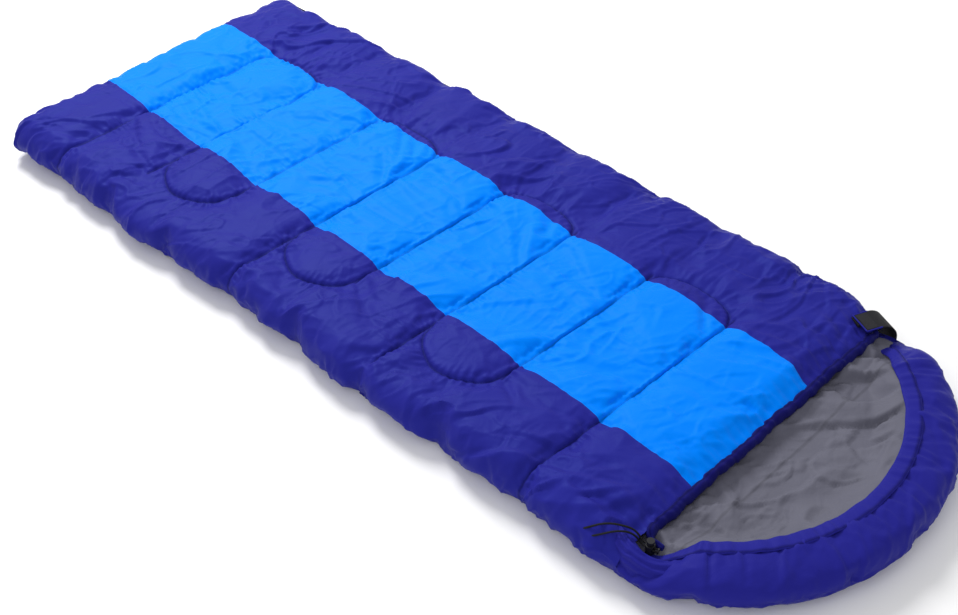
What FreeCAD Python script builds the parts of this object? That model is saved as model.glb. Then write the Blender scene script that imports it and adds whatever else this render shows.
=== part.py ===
import FreeCAD
import Part
import Sketcher
import math
import os
import re

# Hooded rectangular sleeping bag, lying flat and zipped shut.
# +Z is up and z = 0 is the ground.  The foot end points to +Y and the hood to -Y.
# The folded long side is at -X.  The zip runs down the +X side and along the foot.

V = FreeCAD.Vector

DRIVING_SIZES = [
    ("bag_width", 800),
    ("body_length", 1770),
    ("mouth_place", -728),
    ("neck_depth", 48),
    ("hood_reach", 317),
    ("hood_middle", -18),
    ("hood_half_width", 378),
    ("hood_side_radius", 170),
    ("mid_height", 44),
    ("body_space", 8),
    ("skin_thickness", 1.2),
    ("edge_round", 38),
    ("corner_round", 40),
    ("channel_pitch", 195),
    ("channel_drop", 16),
    ("panel_width", 345),
    ("body_gap", 0.3),
    ("zip_stand", 6),
    ("taper_width", 28),
    ("taper_length", 78),
    ("tape_thickness", 0.8),
    ("tape_height", 13),
    ("coil_depth", 2.8),
    ("coil_height", 2.9),
    ("coil_clearance", 0.7),
    ("chain_start", -645),
    ("chain_end", -340),
    ("roll_radius", 43),
    ("roll_height", 45),
    ("casing_width", 24),
    ("casing_depth", 7),
    ("casing_bore", 2.5),
    ("cord_radius", 1.75),
    ("strap_width", 50),
    ("strap_thickness", 1.4),
    ("strap_radius", 41),
    ("strap_flat", 30),
    ("patch_thickness", 1.2),
    ("barrel_radius", 8),
    ("barrel_height", 24),
    ("slider_length", 26),
    ("slider_width", 13),
    ("wing_thickness", 1.4),
    ("pull_length", 28),
    ("pull_width", 9),
    ("fold_offset", 8),
]
size = dict(DRIVING_SIZES)

TAB_TURN = -24.0
TAB_PLACE = V(340, -724, 0)
HEAD_SLIDER_PLACE = V(394, -618, 44)
FOOT_SLIDER_PLACE = V(-300, 1036, 44)
LOCK_PLACE = V(-350, -757, 45)

# Routes of the two free ends of the drawcord, from the eyelet to the knot.
UPPER_TAIL_ROUTE = [
    (-344.0, -772.0, 62.2),
    (-347.8, -763.0, 63.0),
    (-347.8, -750.5, 63.2),
    (-347.8, -737.5, 63.8),
    (-348.6, -730.6, 73.5),
    (-352.5, -720.0, 81.5),
    (-361.0, -707.0, 85.0),
    (-371.0, -693.5, 87.5),
    (-382.3, -681.5, 87.0),
    (-392.6, -669.5, 80.0),
    (-400.0, -657.0, 70.0),
    (-403.9, -645.0, 60.0),
]
LOWER_TAIL_ROUTE = [
    (-348.8, -773.2, 60.0),
    (-352.4, -763.5, 60.7),
    (-352.4, -751.0, 60.9),
    (-352.4, -738.5, 61.4),
    (-354.6, -731.6, 72.5),
    (-361.5, -721.5, 81.0),
    (-372.5, -711.0, 84.4),
    (-384.5, -701.0, 84.2),
    (-394.3, -690.0, 78.0),
    (-400.6, -677.5, 69.0),
    (-403.9, -665.5, 61.0),
    (-404.4, -653.5, 56.4),
    (-404.2, -642.5, 54.6),
]

doc = FreeCAD.newDocument("SleepingBag")
nodes = {}


def make_sheet():
    """Put the driving sizes in a spreadsheet, one alias for each."""
    sheet = doc.addObject("Spreadsheet::Sheet", "Sizes")
    for row, (alias, number) in enumerate(DRIVING_SIZES, start=1):
        sheet.set("A%d" % row, alias)
        sheet.set("B%d" % row, str(number))
        sheet.setAlias("B%d" % row, alias)
    doc.recompute()


def bind(item, prop, formula):
    """Drive a property from the sheet.  Words with an underscore are cell aliases."""
    item.setExpression(prop, re.sub(r"[a-z]+(?:_[a-z]+)+", r"Sizes.\g<0>", formula))


def keep(item, label):
    """Name a finished sub-part, which is written to its own file."""
    item.Label = label
    nodes[label] = item
    return item


def box(name, x, y, z):
    """A block.  Each of x, y and z is a pair of formulas, the low side and the size."""
    item = doc.addObject("Part::Box", name)
    for axis, (low, extent), prop in zip("xyz", (x, y, z), ("Length", "Width", "Height")):
        bind(item, ".Placement.Base." + axis, low)
        bind(item, prop, extent)
    return item


def cylinder(name, radius, height, place, direction=V(0, 0, 1)):
    """A round bar from place along direction.  The radius and height are formulas."""
    item = doc.addObject("Part::Cylinder", name)
    bind(item, "Radius", radius)
    bind(item, "Height", height)
    item.Placement = FreeCAD.Placement(place, FreeCAD.Rotation(V(0, 0, 1), direction))
    return item


def cut(name, base, tool):
    item = doc.addObject("Part::Cut", name)
    item.Base = base
    item.Tool = tool
    return item


def common(name, base, tool):
    item = doc.addObject("Part::Common", name)
    item.Base = base
    item.Tool = tool
    return item


def fuse(name, pieces):
    item = doc.addObject("Part::MultiFuse", name)
    item.Shapes = pieces
    return item


def origin_plane(body, role):
    return [item for item in body.Origin.OriginFeatures if item.Role == role][0]


def polygon_body(name, plane, corners, length, offset="0", midplane=False):
    """A PartDesign body with one padded outline, whose corners are pairs of formulas."""
    body = doc.addObject("PartDesign::Body", name)
    sketch = body.newObject("Sketcher::SketchObject", name + "Outline")
    sketch.AttachmentSupport = [(origin_plane(body, plane), "")]
    sketch.MapMode = "FlatFace"
    count = len(corners)
    start = [V(math.cos(math.tau * i / count), math.sin(math.tau * i / count), 0) for i in range(count)]
    for i in range(count):
        sketch.addGeometry(Part.LineSegment(start[i], start[(i + 1) % count]), False)
    for i in range(count):
        sketch.addConstraint(Sketcher.Constraint("Coincident", i, 2, (i + 1) % count, 1))
    for i, corner in enumerate(corners):
        for kind, formula, number in zip(("DistanceX", "DistanceY"), corner, start[i]):
            row = sketch.addConstraint(Sketcher.Constraint(kind, -1, 1, i, 1, number))
            bind(sketch, "Constraints[%d]" % row, formula)
    bind(sketch, "AttachmentOffset.Base.z", offset)
    pad = body.newObject("PartDesign::Pad", name + "Pad")
    pad.Profile = sketch
    pad.Midplane = midplane
    bind(pad, "Length", length)
    doc.recompute()
    return body


def round_edges(body, radius, wanted):
    """Fillet the edges of a body's tip that the test accepts."""
    tip = body.Tip
    names = ["Edge%d" % (i + 1) for i, edge in enumerate(tip.Shape.Edges) if wanted(edge)]
    fillet = body.newObject("PartDesign::Fillet", body.Name + "Round")
    fillet.Base = (tip, names)
    bind(fillet, "Radius", radius)
    doc.recompute()
    return body


def upright(edge):
    bounds = edge.BoundBox
    return bounds.ZLength > 1 and bounds.XLength < 0.01 and bounds.YLength < 0.01


def at_foot(edge):
    return upright(edge) and edge.BoundBox.YMin > 900


def quilt_block(name, inset, low, high, head, rounded_level):
    """A quilt's plan raised from low to high, with its foot corners and one rim rounded."""
    fold = "-bag_width / 2 + %s" % inset
    side = "bag_width / 2 - zip_stand - %s" % inset
    foot = "mouth_place + body_length - zip_stand - %s" % inset
    corners = [
        (fold, head),
        (side + " - taper_width", head),
        (side + " - taper_width", "mouth_place"),
        (side, "mouth_place + taper_length"),
        (side, foot),
        (fold, foot),
    ]
    if head == "mouth_place":
        del corners[2]
    body = polygon_body(name, "XY_Plane", corners, "%s - (%s)" % (high, low), low)
    round_edges(body, "corner_round - " + inset, at_foot)
    head_line = body.Shape.BoundBox.YMin

    def rim(edge):
        bounds = edge.BoundBox
        level = abs(bounds.ZMin - rounded_level) < 0.01 and bounds.ZLength < 0.01
        return level and bounds.YMax > head_line + 1

    return round_edges(body, "edge_round - " + inset, rim)


def channel_lines():
    """The places of the seams across the top quilt, mouth first and foot last."""
    mouth = size["mouth_place"]
    foot = mouth + size["body_length"]
    lines = [mouth + size["channel_pitch"] * i for i in range(9)]
    return lines + [foot]


def puffed_prism(name, inset):
    """The upper surface of the top quilt, one arc a channel, as a prism across the bag."""
    peak = 2 * size["mid_height"] + 0.8
    drop = size["channel_drop"]
    valley = peak - drop - 1.05 * inset
    arcs = []
    for near, far in zip(channel_lines(), channel_lines()[1:]):
        middle = V(-500, (near + far) / 2, peak - inset)
        arcs.append(Part.Arc(V(-500, near, valley), middle, V(-500, far, valley)).toShape())
    first = arcs[0].Vertexes[0].Point
    last = arcs[-1].Vertexes[-1].Point
    outline = [last, V(-500, last.y, 0), V(-500, first.y, 0), first]
    sides = [Part.makeLine(a, b) for a, b in zip(outline, outline[1:])]
    face = Part.Face(Part.Wire(arcs + sides))
    item = doc.addObject("Part::Feature", name)
    item.Shape = face.extrude(V(1000, 0, 0))
    return item


def zip_ribbon(name, inner, outer, low, height, head, end, tapered):
    """A strip that follows the zip: down the long side, round the corner, along the foot."""
    side = "bag_width / 2 - zip_stand"
    foot = "mouth_place + body_length - zip_stand"
    taper = "mouth_place + taper_length"
    corners = []
    for reach in (inner, outer):
        run = [("%s + %s" % (side, reach), head)]
        if tapered:
            run = [("%s - taper_width + %s" % (side, reach), head), ("%s + %s" % (side, reach), taper)]
        run.append(("%s + %s" % (side, reach), "%s + %s" % (foot, reach)))
        run.append((end, "%s + %s" % (foot, reach)))
        corners.append(run)
    outline = corners[0] + corners[1][::-1]
    body = polygon_body(name, "XY_Plane", outline, height, low)
    uprights = sorted(filter(at_foot, body.Shape.Edges), key=lambda edge: edge.BoundBox.XMax)
    for place, reach in ((uprights[-2].BoundBox.XMax, inner), (uprights[-1].BoundBox.XMax, outer)):
        round_edges(
            body,
            "corner_round + " + reach,
            lambda edge: at_foot(edge) and abs(edge.BoundBox.XMax - place) < 0.01,
        )
    return body


def make_under_quilt(groove):
    outer = quilt_block("UnderOuter", "0", "0", "mid_height - body_gap", "mouth_place - neck_depth", 0)
    skin = size["skin_thickness"]
    inner = quilt_block(
        "UnderInner", "skin_thickness", "skin_thickness", "mid_height + 20", "mouth_place - neck_depth", skin
    )
    open_shell = cut("UnderSkin", outer, inner)
    keep(cut("under_shell", open_shell, groove), "under_shell")
    across = ("-bag_width", "2 * bag_width")
    along = ("-body_length", "3 * body_length")
    top = "mid_height - body_space / 2"
    fill_slab = box("UnderFillSlab", across, along, ("0", top + " - skin_thickness"))
    keep(cut("under_filling", common("UnderFill", inner, fill_slab), groove), "under_filling")
    lining_slab = box("UnderLiningSlab", across, along, (top + " - skin_thickness", "skin_thickness"))
    keep(cut("under_lining", common("UnderLiningSheet", inner, lining_slab), groove), "under_lining")


def make_top_quilt(groove):
    low = "mid_height + body_gap"
    level = 2 * size["mid_height"]
    pillow = quilt_block("TopOuterBlock", "0", low, "2 * mid_height", "mouth_place", level)
    inner_pillow = quilt_block(
        "TopInnerBlock",
        "skin_thickness",
        "mid_height - 10",
        "2 * mid_height - skin_thickness",
        "mouth_place",
        level - size["skin_thickness"],
    )
    outer = common("TopOuter", pillow, puffed_prism("PuffedOutside", 0.0))
    inner = common("TopInner", inner_pillow, puffed_prism("PuffedInside", size["skin_thickness"]))
    skin = cut("TopSkin", cut("TopSkinWhole", outer, inner), groove)
    along = ("-body_length", "3 * body_length")
    height = ("0", "bag_width")
    fold_slab = box("FoldSideSlab", ("-bag_width", "bag_width - panel_width / 2"), along, height)
    centre_slab = box("CentreSlab", ("-panel_width / 2", "panel_width"), along, height)
    zip_slab = box("ZipSideSlab", ("panel_width / 2", "bag_width"), along, height)
    keep(common("top_shell_fold_side", skin, fold_slab), "top_shell_fold_side")
    keep(common("top_shell_centre", skin, centre_slab), "top_shell_centre")
    keep(common("top_shell_zip_side", skin, zip_slab), "top_shell_zip_side")
    across = ("-bag_width", "2 * bag_width")
    bottom = "mid_height + body_space / 2"
    lining_slab = box("TopLiningSlab", across, along, (bottom, "skin_thickness"))
    keep(cut("top_lining", common("TopLiningSheet", inner, lining_slab), groove), "top_lining")
    fill_slab = box("TopFillSlab", across, along, (bottom + " + skin_thickness", "bag_width"))
    keep(cut("top_filling", common("TopFill", inner, fill_slab), groove), "top_filling")
    return outer


def make_zip():
    """Two tapes, two coils and the stops at the ends of the chain."""
    tape = ("body_gap", "(body_gap + tape_thickness)")
    coil = (tape[1], "(body_gap + tape_thickness + coil_depth)")
    low_tape = "mid_height - 1 - tape_height"
    high_tape = "mid_height + 1"
    low_coil = "mid_height - coil_clearance - coil_height"
    high_coil = "mid_height + coil_clearance"
    end = "chain_end - 8"
    for quilt, tape_level, coil_level in (("under", low_tape, low_coil), ("top", high_tape, high_coil)):
        strip = zip_ribbon(
            quilt + "_zip_tape", *tape, tape_level, "tape_height", "mouth_place", end, tapered=True
        )
        keep(strip, quilt + "_zip_tape")
        chain = zip_ribbon(
            quilt + "_zip_coil", *coil, coil_level, "coil_height", "chain_start", "chain_end", tapered=False
        )
        keep(chain, quilt + "_zip_coil")
        stop = box(
            quilt + "_head_stop",
            ("bag_width / 2 - zip_stand + " + coil[0], "coil_depth"),
            ("chain_start - 4", "4"),
            (coil_level, "coil_height"),
        )
        keep(stop, quilt + "_head_stop")
    foot_stop = box(
        "foot_stop",
        ("chain_end - 5", "5"),
        ("mouth_place + body_length - zip_stand + " + coil[0], "coil_depth"),
        ("mid_height - 4", "8"),
    )
    keep(foot_stop, "foot_stop")


def make_groove():
    """The open strip along both quilts where the slider's inner wing runs."""
    return zip_ribbon(
        "ZipGroove", "-4", "8", "mid_height - 10", "20", "mouth_place - 100", "chain_end - 14", tapered=False
    )


def make_slider(name, place, turn):
    """A slider round the chain, its pull's ring and the pull.  Local +X points away from the bag."""
    outer_face = "body_gap + tape_thickness + coil_depth + 0.5"
    half_length = "-slider_length / 2"
    half_width = "-slider_width / 2"
    pieces = [
        box(
            name + "InnerWing",
            ("-1 - wing_thickness", "wing_thickness"),
            (half_length, "slider_length"),
            (half_width, "slider_width"),
        ),
        box(
            name + "OuterWing",
            (outer_face, "wing_thickness"),
            (half_length, "slider_length"),
            (half_width, "slider_width"),
        ),
        box(
            name + "Post",
            ("-1 - wing_thickness", outer_face + " + 1 + 2 * wing_thickness"),
            ("slider_length / 2 - 12", "9"),
            ("-0.4", "0.8"),
        ),
    ]
    for side, low in (("Low", half_width), ("High", "slider_width / 2 - 1.2")):
        pieces.append(
            box(
                name + "Flange" + side,
                (outer_face + " - 2.2", "2.4"),
                (half_length, "slider_length"),
                (low, "1.2"),
            )
        )
    for end, low in (("Head", "-5.6"), ("Foot", "4.4")):
        pieces.append(
            box(
                name + "Bail" + end,
                (outer_face + " + wing_thickness - 0.2", "4.6"),
                (low, "1.2"),
                ("1.4", "1.2"),
            )
        )
    reach = size["body_gap"] + size["tape_thickness"] + size["coil_depth"] + 0.5 + size["wing_thickness"] + 3.8
    pieces.append(cylinder(name + "BailBar", "0.6", "11.2", V(reach, -5.6, 2), V(0, 1, 0)))
    turned = FreeCAD.Placement(place, FreeCAD.Rotation(V(0, 0, 1), turn))
    body = fuse(name, pieces)
    body.Placement = turned
    keep(body, name)

    ring = doc.addObject("Part::Torus", name + "_ring")
    ring.Radius1 = 2.6
    ring.Radius2 = 0.6
    ring.Placement = turned * FreeCAD.Placement(V(reach, 0, 0.7), FreeCAD.Rotation(V(0, 0, 1), V(0, 1, 0)))
    keep(ring, name + "_ring")

    plate = box(name + "PullPlate", ("-0.6", "1.2"), ("-pull_width / 2", "pull_width"), ("-pull_length", "pull_length - 6"))
    neck = box(name + "PullNeck", ("-0.6", "1.2"), ("-1.9", "3.8"), ("-7", "5.2"))
    head = cylinder(name + "PullHead", "1.9", "1.2", V(-0.6, 0, -2.2), V(1, 0, 0))
    hole = cylinder(name + "PullHole", "0.95", "4", V(-2, 0, -2.2), V(1, 0, 0))
    pull = cut(name + "_pull", fuse(name + "PullWhole", [plate, neck, head]), hole)
    pull.Placement = turned * FreeCAD.Placement(V(reach, 0, 0), FreeCAD.Rotation())
    keep(pull, name + "_pull")


def arch_wire(inset, level, shift_out=0.0):
    """The hood's outline in plan, moved inwards by inset: two side arcs and a crown arc."""
    hinge = size["mouth_place"] - size["neck_depth"] - size["body_gap"]
    middle = size["hood_middle"]
    half = size["hood_half_width"]
    depth = size["hood_reach"] - size["neck_depth"]
    side = size["hood_side_radius"]
    crown = ((half - side) ** 2 + depth**2 - side**2) / (2 * (depth - side))
    side_centre = half - side
    crown_centre = crown - depth
    lean = math.atan2(side_centre, crown_centre)
    side_r = side - inset
    crown_r = crown - inset

    def on_side(angle, sign):
        return V(middle + sign * (side_centre + side_r * math.cos(angle)), hinge - side_r * math.sin(angle), level)

    def on_crown(angle):
        return V(middle + crown_r * math.sin(angle), hinge + crown_centre - crown_r * math.cos(angle), level)

    meet = math.pi / 2 - lean
    left = Part.Arc(on_side(0, -1), on_side(meet / 2, -1), on_side(meet, -1))
    top = Part.Arc(on_side(meet, -1), on_crown(0), on_side(meet, 1))
    right = Part.Arc(on_side(meet, 1), on_side(meet / 2, 1), on_side(0, 1))
    return Part.Wire([left.toShape(), top.toShape(), right.toShape()])


def swept(name, path, outline):
    """A Part::Feature that carries a closed outline along a path."""
    item = doc.addObject("Part::Feature", name)
    item.Shape = path.makePipeShell([outline], True, False)
    return item


def circle_at(path, radius):
    """A circle round the start of a path, square to it."""
    first = path.Edges[0]
    start = first.valueAt(first.FirstParameter)
    direction = first.tangentAt(first.FirstParameter)
    return Part.Wire([Part.makeCircle(radius, start, direction)])


def make_hood():
    skin = size["skin_thickness"]
    radius = size["roll_radius"]
    level = size["roll_height"]
    end_taper = polygon_body(
        "RollEndTaper",
        "YZ_Plane",
        [
            ("mouth_place", "mid_height - body_space / 2"),
            ("mouth_place - neck_depth - body_gap", "mid_height - body_space / 2"),
            ("mouth_place - neck_depth - body_gap - 60", "mid_height - body_space / 2 + 60"),
            ("mouth_place", "mid_height - body_space / 2 + 60"),
        ],
        "2 * bag_width",
        midplane=True,
    )
    roll_path = arch_wire(radius, level)
    roll = swept("RollOutside", roll_path, circle_at(roll_path, radius))
    core = swept("RollInside", roll_path, circle_at(roll_path, radius - skin))
    keep(cut("hood_roll_shell", cut("RollSkin", roll, core), end_taper), "hood_roll_shell")
    keep(cut("hood_roll_filling", core, end_taper), "hood_roll_filling")

    top = size["mid_height"] - size["body_space"] / 2
    layers = (
        ("hood_under_shell", 0.0, skin),
        ("hood_filling", skin, top - skin),
        ("hood_lining", top - skin, top),
    )
    for name, low, high in layers:
        outline = arch_wire(radius, low)
        ends = [vertex.Point for vertex in (outline.Vertexes[0], outline.Vertexes[-1])]
        sheet = Part.Face(Part.Wire(outline.Edges + [Part.makeLine(ends[1], ends[0])]))
        slab = doc.addObject("Part::Feature", name + "Slab")
        slab.Shape = sheet.extrude(V(0, 0, high - low))
        keep(cut(name, slab, roll), name)

    lean = math.radians(55)
    across = size["casing_width"] / 2
    deep = size["casing_depth"] / 2
    stand = radius + deep + 0.2
    inward = V(math.cos(lean) * stand, 0, math.sin(lean) * stand)
    casing_path = arch_wire(radius + inward.x, level + inward.z)
    start = casing_path.Edges[0].valueAt(casing_path.Edges[0].FirstParameter)
    along = V(-math.sin(lean), 0, math.cos(lean))
    outwards = V(math.cos(lean), 0, math.sin(lean))
    corners = [
        start + along * a * across + outwards * b * deep for a, b in ((1, 1), (-1, 1), (-1, -1), (1, -1), (1, 1))
    ]
    band = swept("CasingBand", casing_path, Part.makePolygon(corners))
    bore = swept("CasingBore", casing_path, circle_at(casing_path, size["casing_bore"]))
    keep(cut("hood_casing", cut("CasingHollow", band, bore), end_taper), "hood_casing")
    cord = swept("HoodCordWhole", casing_path, circle_at(casing_path, size["cord_radius"]))
    keep(cut("hood_cord", cord, end_taper), "hood_cord")


def make_mouth_casing():
    """The hem along the mouth of the top quilt with the drawcord inside, and its turned end."""
    left, right = -338.0, 336.0
    block = box(
        "MouthHemBlock", (str(left), str(right - left)), ("mouth_place - 14", "14"), ("mid_height + 5", "26")
    )
    bore = cylinder("MouthHemBore", "casing_bore", str(right - left + 2), V(left - 1, -735, 62), V(1, 0, 0))
    keep(cut("mouth_casing", block, bore), "mouth_casing")
    keep(cylinder("mouth_cord", "cord_radius", str(right - left - 2), V(left + 1, -735, 62), V(1, 0, 0)), "mouth_cord")
    end = box("casing_end", ("-340", "10"), ("mouth_place - 46", "31.5"), ("mid_height + 5", "22"))
    keep(end, "casing_end")


def rounded_route(points):
    """Straight runs joined by tangent arcs, each as large as its two runs allow."""
    points = [V(*point) for point in points]
    edges = []
    last = points[0]
    radii = []
    for before, here, after in zip(points, points[1:], points[2:]):
        run_in = (here - before).normalize()
        run_out = (after - here).normalize()
        turn = run_in.getAngle(run_out)
        reach = 0.45 * min((here - before).Length, (after - here).Length)
        radii.append(reach / math.tan(turn / 2))
        enter = here - run_in * reach
        leave = here + run_out * reach
        towards = (run_out - run_in).normalize()
        middle = here + towards * (radii[-1] / math.cos(turn / 2) - radii[-1])
        edges.append(Part.LineSegment(last, enter).toShape())
        edges.append(Part.Arc(enter, middle, leave).toShape())
        last = leave
    edges.append(Part.LineSegment(last, points[-1]).toShape())
    return Part.Wire(edges), radii


def make_tail(name, route):
    path, radii = rounded_route(route)
    tube = swept(name, path, circle_at(path, size["cord_radius"]))
    expected = math.pi * size["cord_radius"] ** 2 * path.Length
    print("%s: length %.1f mm, volume ratio %.4f" % (name, path.Length, tube.Shape.Volume / expected))
    print("  radii " + " ".join("%.0f" % radius for radius in radii))
    keep(tube, name)


def make_drawcord_ends():
    make_tail("drawcord_upper_tail", UPPER_TAIL_ROUTE)
    make_tail("drawcord_lower_tail", LOWER_TAIL_ROUTE)
    knot = doc.addObject("Part::Ellipsoid", "drawcord_knot")
    knot.Radius1 = 6.8
    knot.Radius2 = 3.6
    knot.Placement = FreeCAD.Placement(V(-404.1, -638.0, 55.4), FreeCAD.Rotation(V(0, 0, 1), V(0, 1, -0.35)))
    eyelet = doc.addObject("Part::Torus", "cord_eyelet")
    eyelet.Radius1 = 5.2
    eyelet.Radius2 = 1.0
    eyelet.Placement = FreeCAD.Placement(V(-346.6, -771.4, 61.2), FreeCAD.Rotation(V(0, 0, 1), V(-0.3, 1, 0.1)))
    keep(knot, "drawcord_knot")
    keep(eyelet, "cord_eyelet")


def make_cord_lock():
    """A spring toggle: a barrel, a button that slides in it, and the spring below the button."""
    place = LOCK_PLACE
    barrel = cylinder("BarrelSolid", "barrel_radius", "barrel_height", place)
    pocket = cylinder("BarrelPocket", "barrel_radius - 2", "barrel_height", place + V(0, 0, 2))
    slot = box(
        "BarrelSlot",
        (str(place.x - 4.6), "9.2"),
        (str(place.y - 20), "40"),
        (str(place.z + 13.8), "7.6"),
    )
    keep(cut("lock_barrel", cut("BarrelHollow", barrel, pocket), slot), "lock_barrel")
    stem = cylinder("ButtonStem", "barrel_radius - 2.3", "18", place + V(0, 0, 10))
    cap = cylinder("ButtonCap", "barrel_radius - 1.2", "4", place + V(0, 0, 30))
    neck = cylinder("ButtonNeck", "barrel_radius - 3", "4", place + V(0, 0, 27))
    window = box(
        "ButtonWindow",
        (str(place.x - 4.6), "9.2"),
        (str(place.y - 20), "40"),
        (str(place.z + 13.6), "12.8"),
    )
    keep(cut("lock_button", fuse("ButtonSolid", [stem, neck, cap]), window), "lock_button")
    coil = cylinder("SpringOutside", "barrel_radius - 2.8", "7.6", place + V(0, 0, 2.2))
    hollow = cylinder("SpringInside", "barrel_radius - 4", "7.6", place + V(0, 0, 2.2))
    keep(cut("lock_spring", coil, hollow), "lock_spring")


def tab_placement(shape_item):
    shape_item.Placement = FreeCAD.Placement(TAB_PLACE, FreeCAD.Rotation(V(0, 0, 1), TAB_TURN))


def strap_arc(name, start_angle, sweep):
    """Part of the closing strap, an arc round the quilts' edge, in the strap's own frame."""
    rings = []
    for word, radius in (("Outer", "strap_radius + strap_thickness"), ("Inner", "strap_radius")):
        ring = cylinder(name + word, radius, "strap_width", V(0, size["strap_width"] / 2, size["mid_height"]), V(0, -1, 0))
        ring.Angle = sweep
        turn = FreeCAD.Rotation(V(0, -1, 0), start_angle)
        upright_turn = FreeCAD.Rotation(V(1, 0, 0), 90)
        ring.Placement = FreeCAD.Placement(V(0, size["strap_width"] / 2, size["mid_height"]), turn * upright_turn)
        rings.append(ring)
    return cut(name, rings[0], rings[1])


def make_closing_tab(quilt_top):
    """The strap that wraps the zip's end, its label, piping and hook patch."""
    root = strap_arc("tab_root", -50, 48)
    tab_placement(root)
    keep(root, "tab_root")
    top = "mid_height + strap_radius"
    flat = box("StrapFlat", ("-strap_flat", "strap_flat"), ("-strap_width / 2", "strap_width"), (top, "strap_thickness"))
    strap = fuse("tab_strap", [strap_arc("StrapArc", 0, 90), flat])
    tab_placement(strap)
    keep(strap, "tab_strap")
    upper = top + " + strap_thickness"
    frame = box("PipingBlock", ("-strap_flat", "strap_flat"), ("-strap_width / 2", "strap_width"), (upper, "1.1"))
    middle = box(
        "PipingMiddle", ("-strap_flat + 2", "strap_flat"), ("-strap_width / 2 + 2", "strap_width - 4"), (upper + " - 1", "4")
    )
    piping = cut("tab_piping", frame, middle)
    tab_placement(piping)
    keep(piping, "tab_piping")
    label = box(
        "tab_label", ("-strap_flat + 2.1", "strap_flat - 2.1"), ("-strap_width / 2 + 2.1", "strap_width - 4.2"), (upper, "0.7")
    )
    tab_placement_of_box(label)
    keep(label, "tab_label")
    hooks = box(
        "tab_hooks",
        ("-strap_flat + 1", "strap_flat - 4"),
        ("-1", "strap_width / 2 - 1"),
        (top + " - patch_thickness", "patch_thickness"),
    )
    tab_placement_of_box(hooks)
    keep(hooks, "tab_hooks")
    loops = box(
        "LoopPad",
        ("-strap_flat - 3", "strap_flat"),
        ("-1", "strap_width / 2 - 1"),
        (top + " - patch_thickness - 12.2", "12"),
    )
    tab_placement_of_box(loops)
    keep(cut("loop_patch", loops, quilt_top), "loop_patch")


def tab_placement_of_box(block):
    """Turn and move a block from the strap's own frame, whose place is bound, to the bag's frame."""
    doc.recompute()
    local = FreeCAD.Placement(V(0, 0, 0), FreeCAD.Rotation(V(0, 0, 1), TAB_TURN))
    for axis in "xyz":
        block.setExpression(".Placement.Base." + axis, None)
    block.Placement = FreeCAD.Placement(TAB_PLACE, FreeCAD.Rotation()) * local * block.Placement


def check_and_write():
    doc.recompute()
    failed = [item.Name for item in doc.Objects if {"Invalid", "Error"} & set(item.State)]
    if failed:
        raise RuntimeError("these objects failed: " + ", ".join(failed))
    os.makedirs("parts", exist_ok=True)
    total = 0.0
    for label, item in nodes.items():
        shape = item.Shape
        if shape.isNull() or not shape.isValid() or not shape.Solids:
            raise RuntimeError("the shape of %s is not a valid solid" % label)
        total += shape.Volume
        shape.exportStep("parts/%s.step" % label)
    print("%d nodes, volume %.5f cubic metres" % (len(nodes), total / 1e9))


make_sheet()
zip_groove = make_groove()
make_under_quilt(zip_groove)
top_solid = make_top_quilt(zip_groove)
make_zip()
make_hood()
make_mouth_casing()
make_drawcord_ends()
make_cord_lock()
make_closing_tab(top_solid)
make_slider("head_slider", HEAD_SLIDER_PLACE, 0)
make_slider("foot_slider", FOOT_SLIDER_PLACE, 90)
check_and_write()
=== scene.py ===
import math

import bmesh
import bpy
import numpy as np
from bpy.props import FloatProperty, FloatVectorProperty, PointerProperty
from mathutils import Matrix, Vector
from mathutils.kdtree import KDTree


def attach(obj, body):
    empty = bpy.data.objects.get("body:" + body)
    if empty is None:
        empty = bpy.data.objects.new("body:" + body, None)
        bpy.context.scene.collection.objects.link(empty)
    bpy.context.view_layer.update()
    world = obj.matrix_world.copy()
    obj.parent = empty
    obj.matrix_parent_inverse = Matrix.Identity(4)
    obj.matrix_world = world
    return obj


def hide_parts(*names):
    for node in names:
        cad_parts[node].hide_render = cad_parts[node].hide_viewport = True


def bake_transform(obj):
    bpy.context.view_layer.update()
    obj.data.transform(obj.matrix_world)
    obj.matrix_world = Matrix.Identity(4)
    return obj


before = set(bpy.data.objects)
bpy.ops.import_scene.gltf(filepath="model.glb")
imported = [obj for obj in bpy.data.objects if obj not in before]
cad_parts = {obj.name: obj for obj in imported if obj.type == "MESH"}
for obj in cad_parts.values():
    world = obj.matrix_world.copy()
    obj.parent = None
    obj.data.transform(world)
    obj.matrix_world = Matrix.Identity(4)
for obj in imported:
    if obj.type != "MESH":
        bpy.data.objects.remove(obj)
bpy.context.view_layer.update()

bl_info = {
    "name": "Hooded Sleeping Bag",
    "version": (1, 0, 0),
    "blender": (4, 5, 0),
    "location": "3D View > Sidebar > Sleeping Bag",
    "description": "Quilted rectangular sleeping bag with a padded hood, zip, drawcord and closing tab",
    "category": "Add Mesh",
}

# The two quilts, in metres in the frame's axes.
FOLD_X = -0.400
INNER_X = -0.381
ZIP_X = 0.394
MOUTH_Y = -0.728
NECK_Y = -0.776
FOOT_Y = 1.036
MID_Z = 0.044
CORNER = 0.040
PITCH = 0.195
TAPER_LENGTH = 0.078
TAPER_WIDTH = 0.028
LINING_RIGHT = 0.390

# The hood, its roll and its lining.
HOOD_MIDDLE = -0.018
HOOD_HALF = 0.378
HOOD_DEPTH = 0.269
HOOD_SIDE_RADIUS = 0.170
ROLL_RADIUS = 0.043
ROLL_Z = 0.045
ROLL_SINK = 0.034
ROLL_DRAW_OUT = 0.054
ROLL_SEAM = 0.084
ROLL_TOP = 0.0955
RIM_INSET = 0.052
NECK_LEFT = -0.388
NECK_RIGHT = 0.356
NECK_SEAM_Y = -0.795
LINING_LOW = 0.0402

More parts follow.
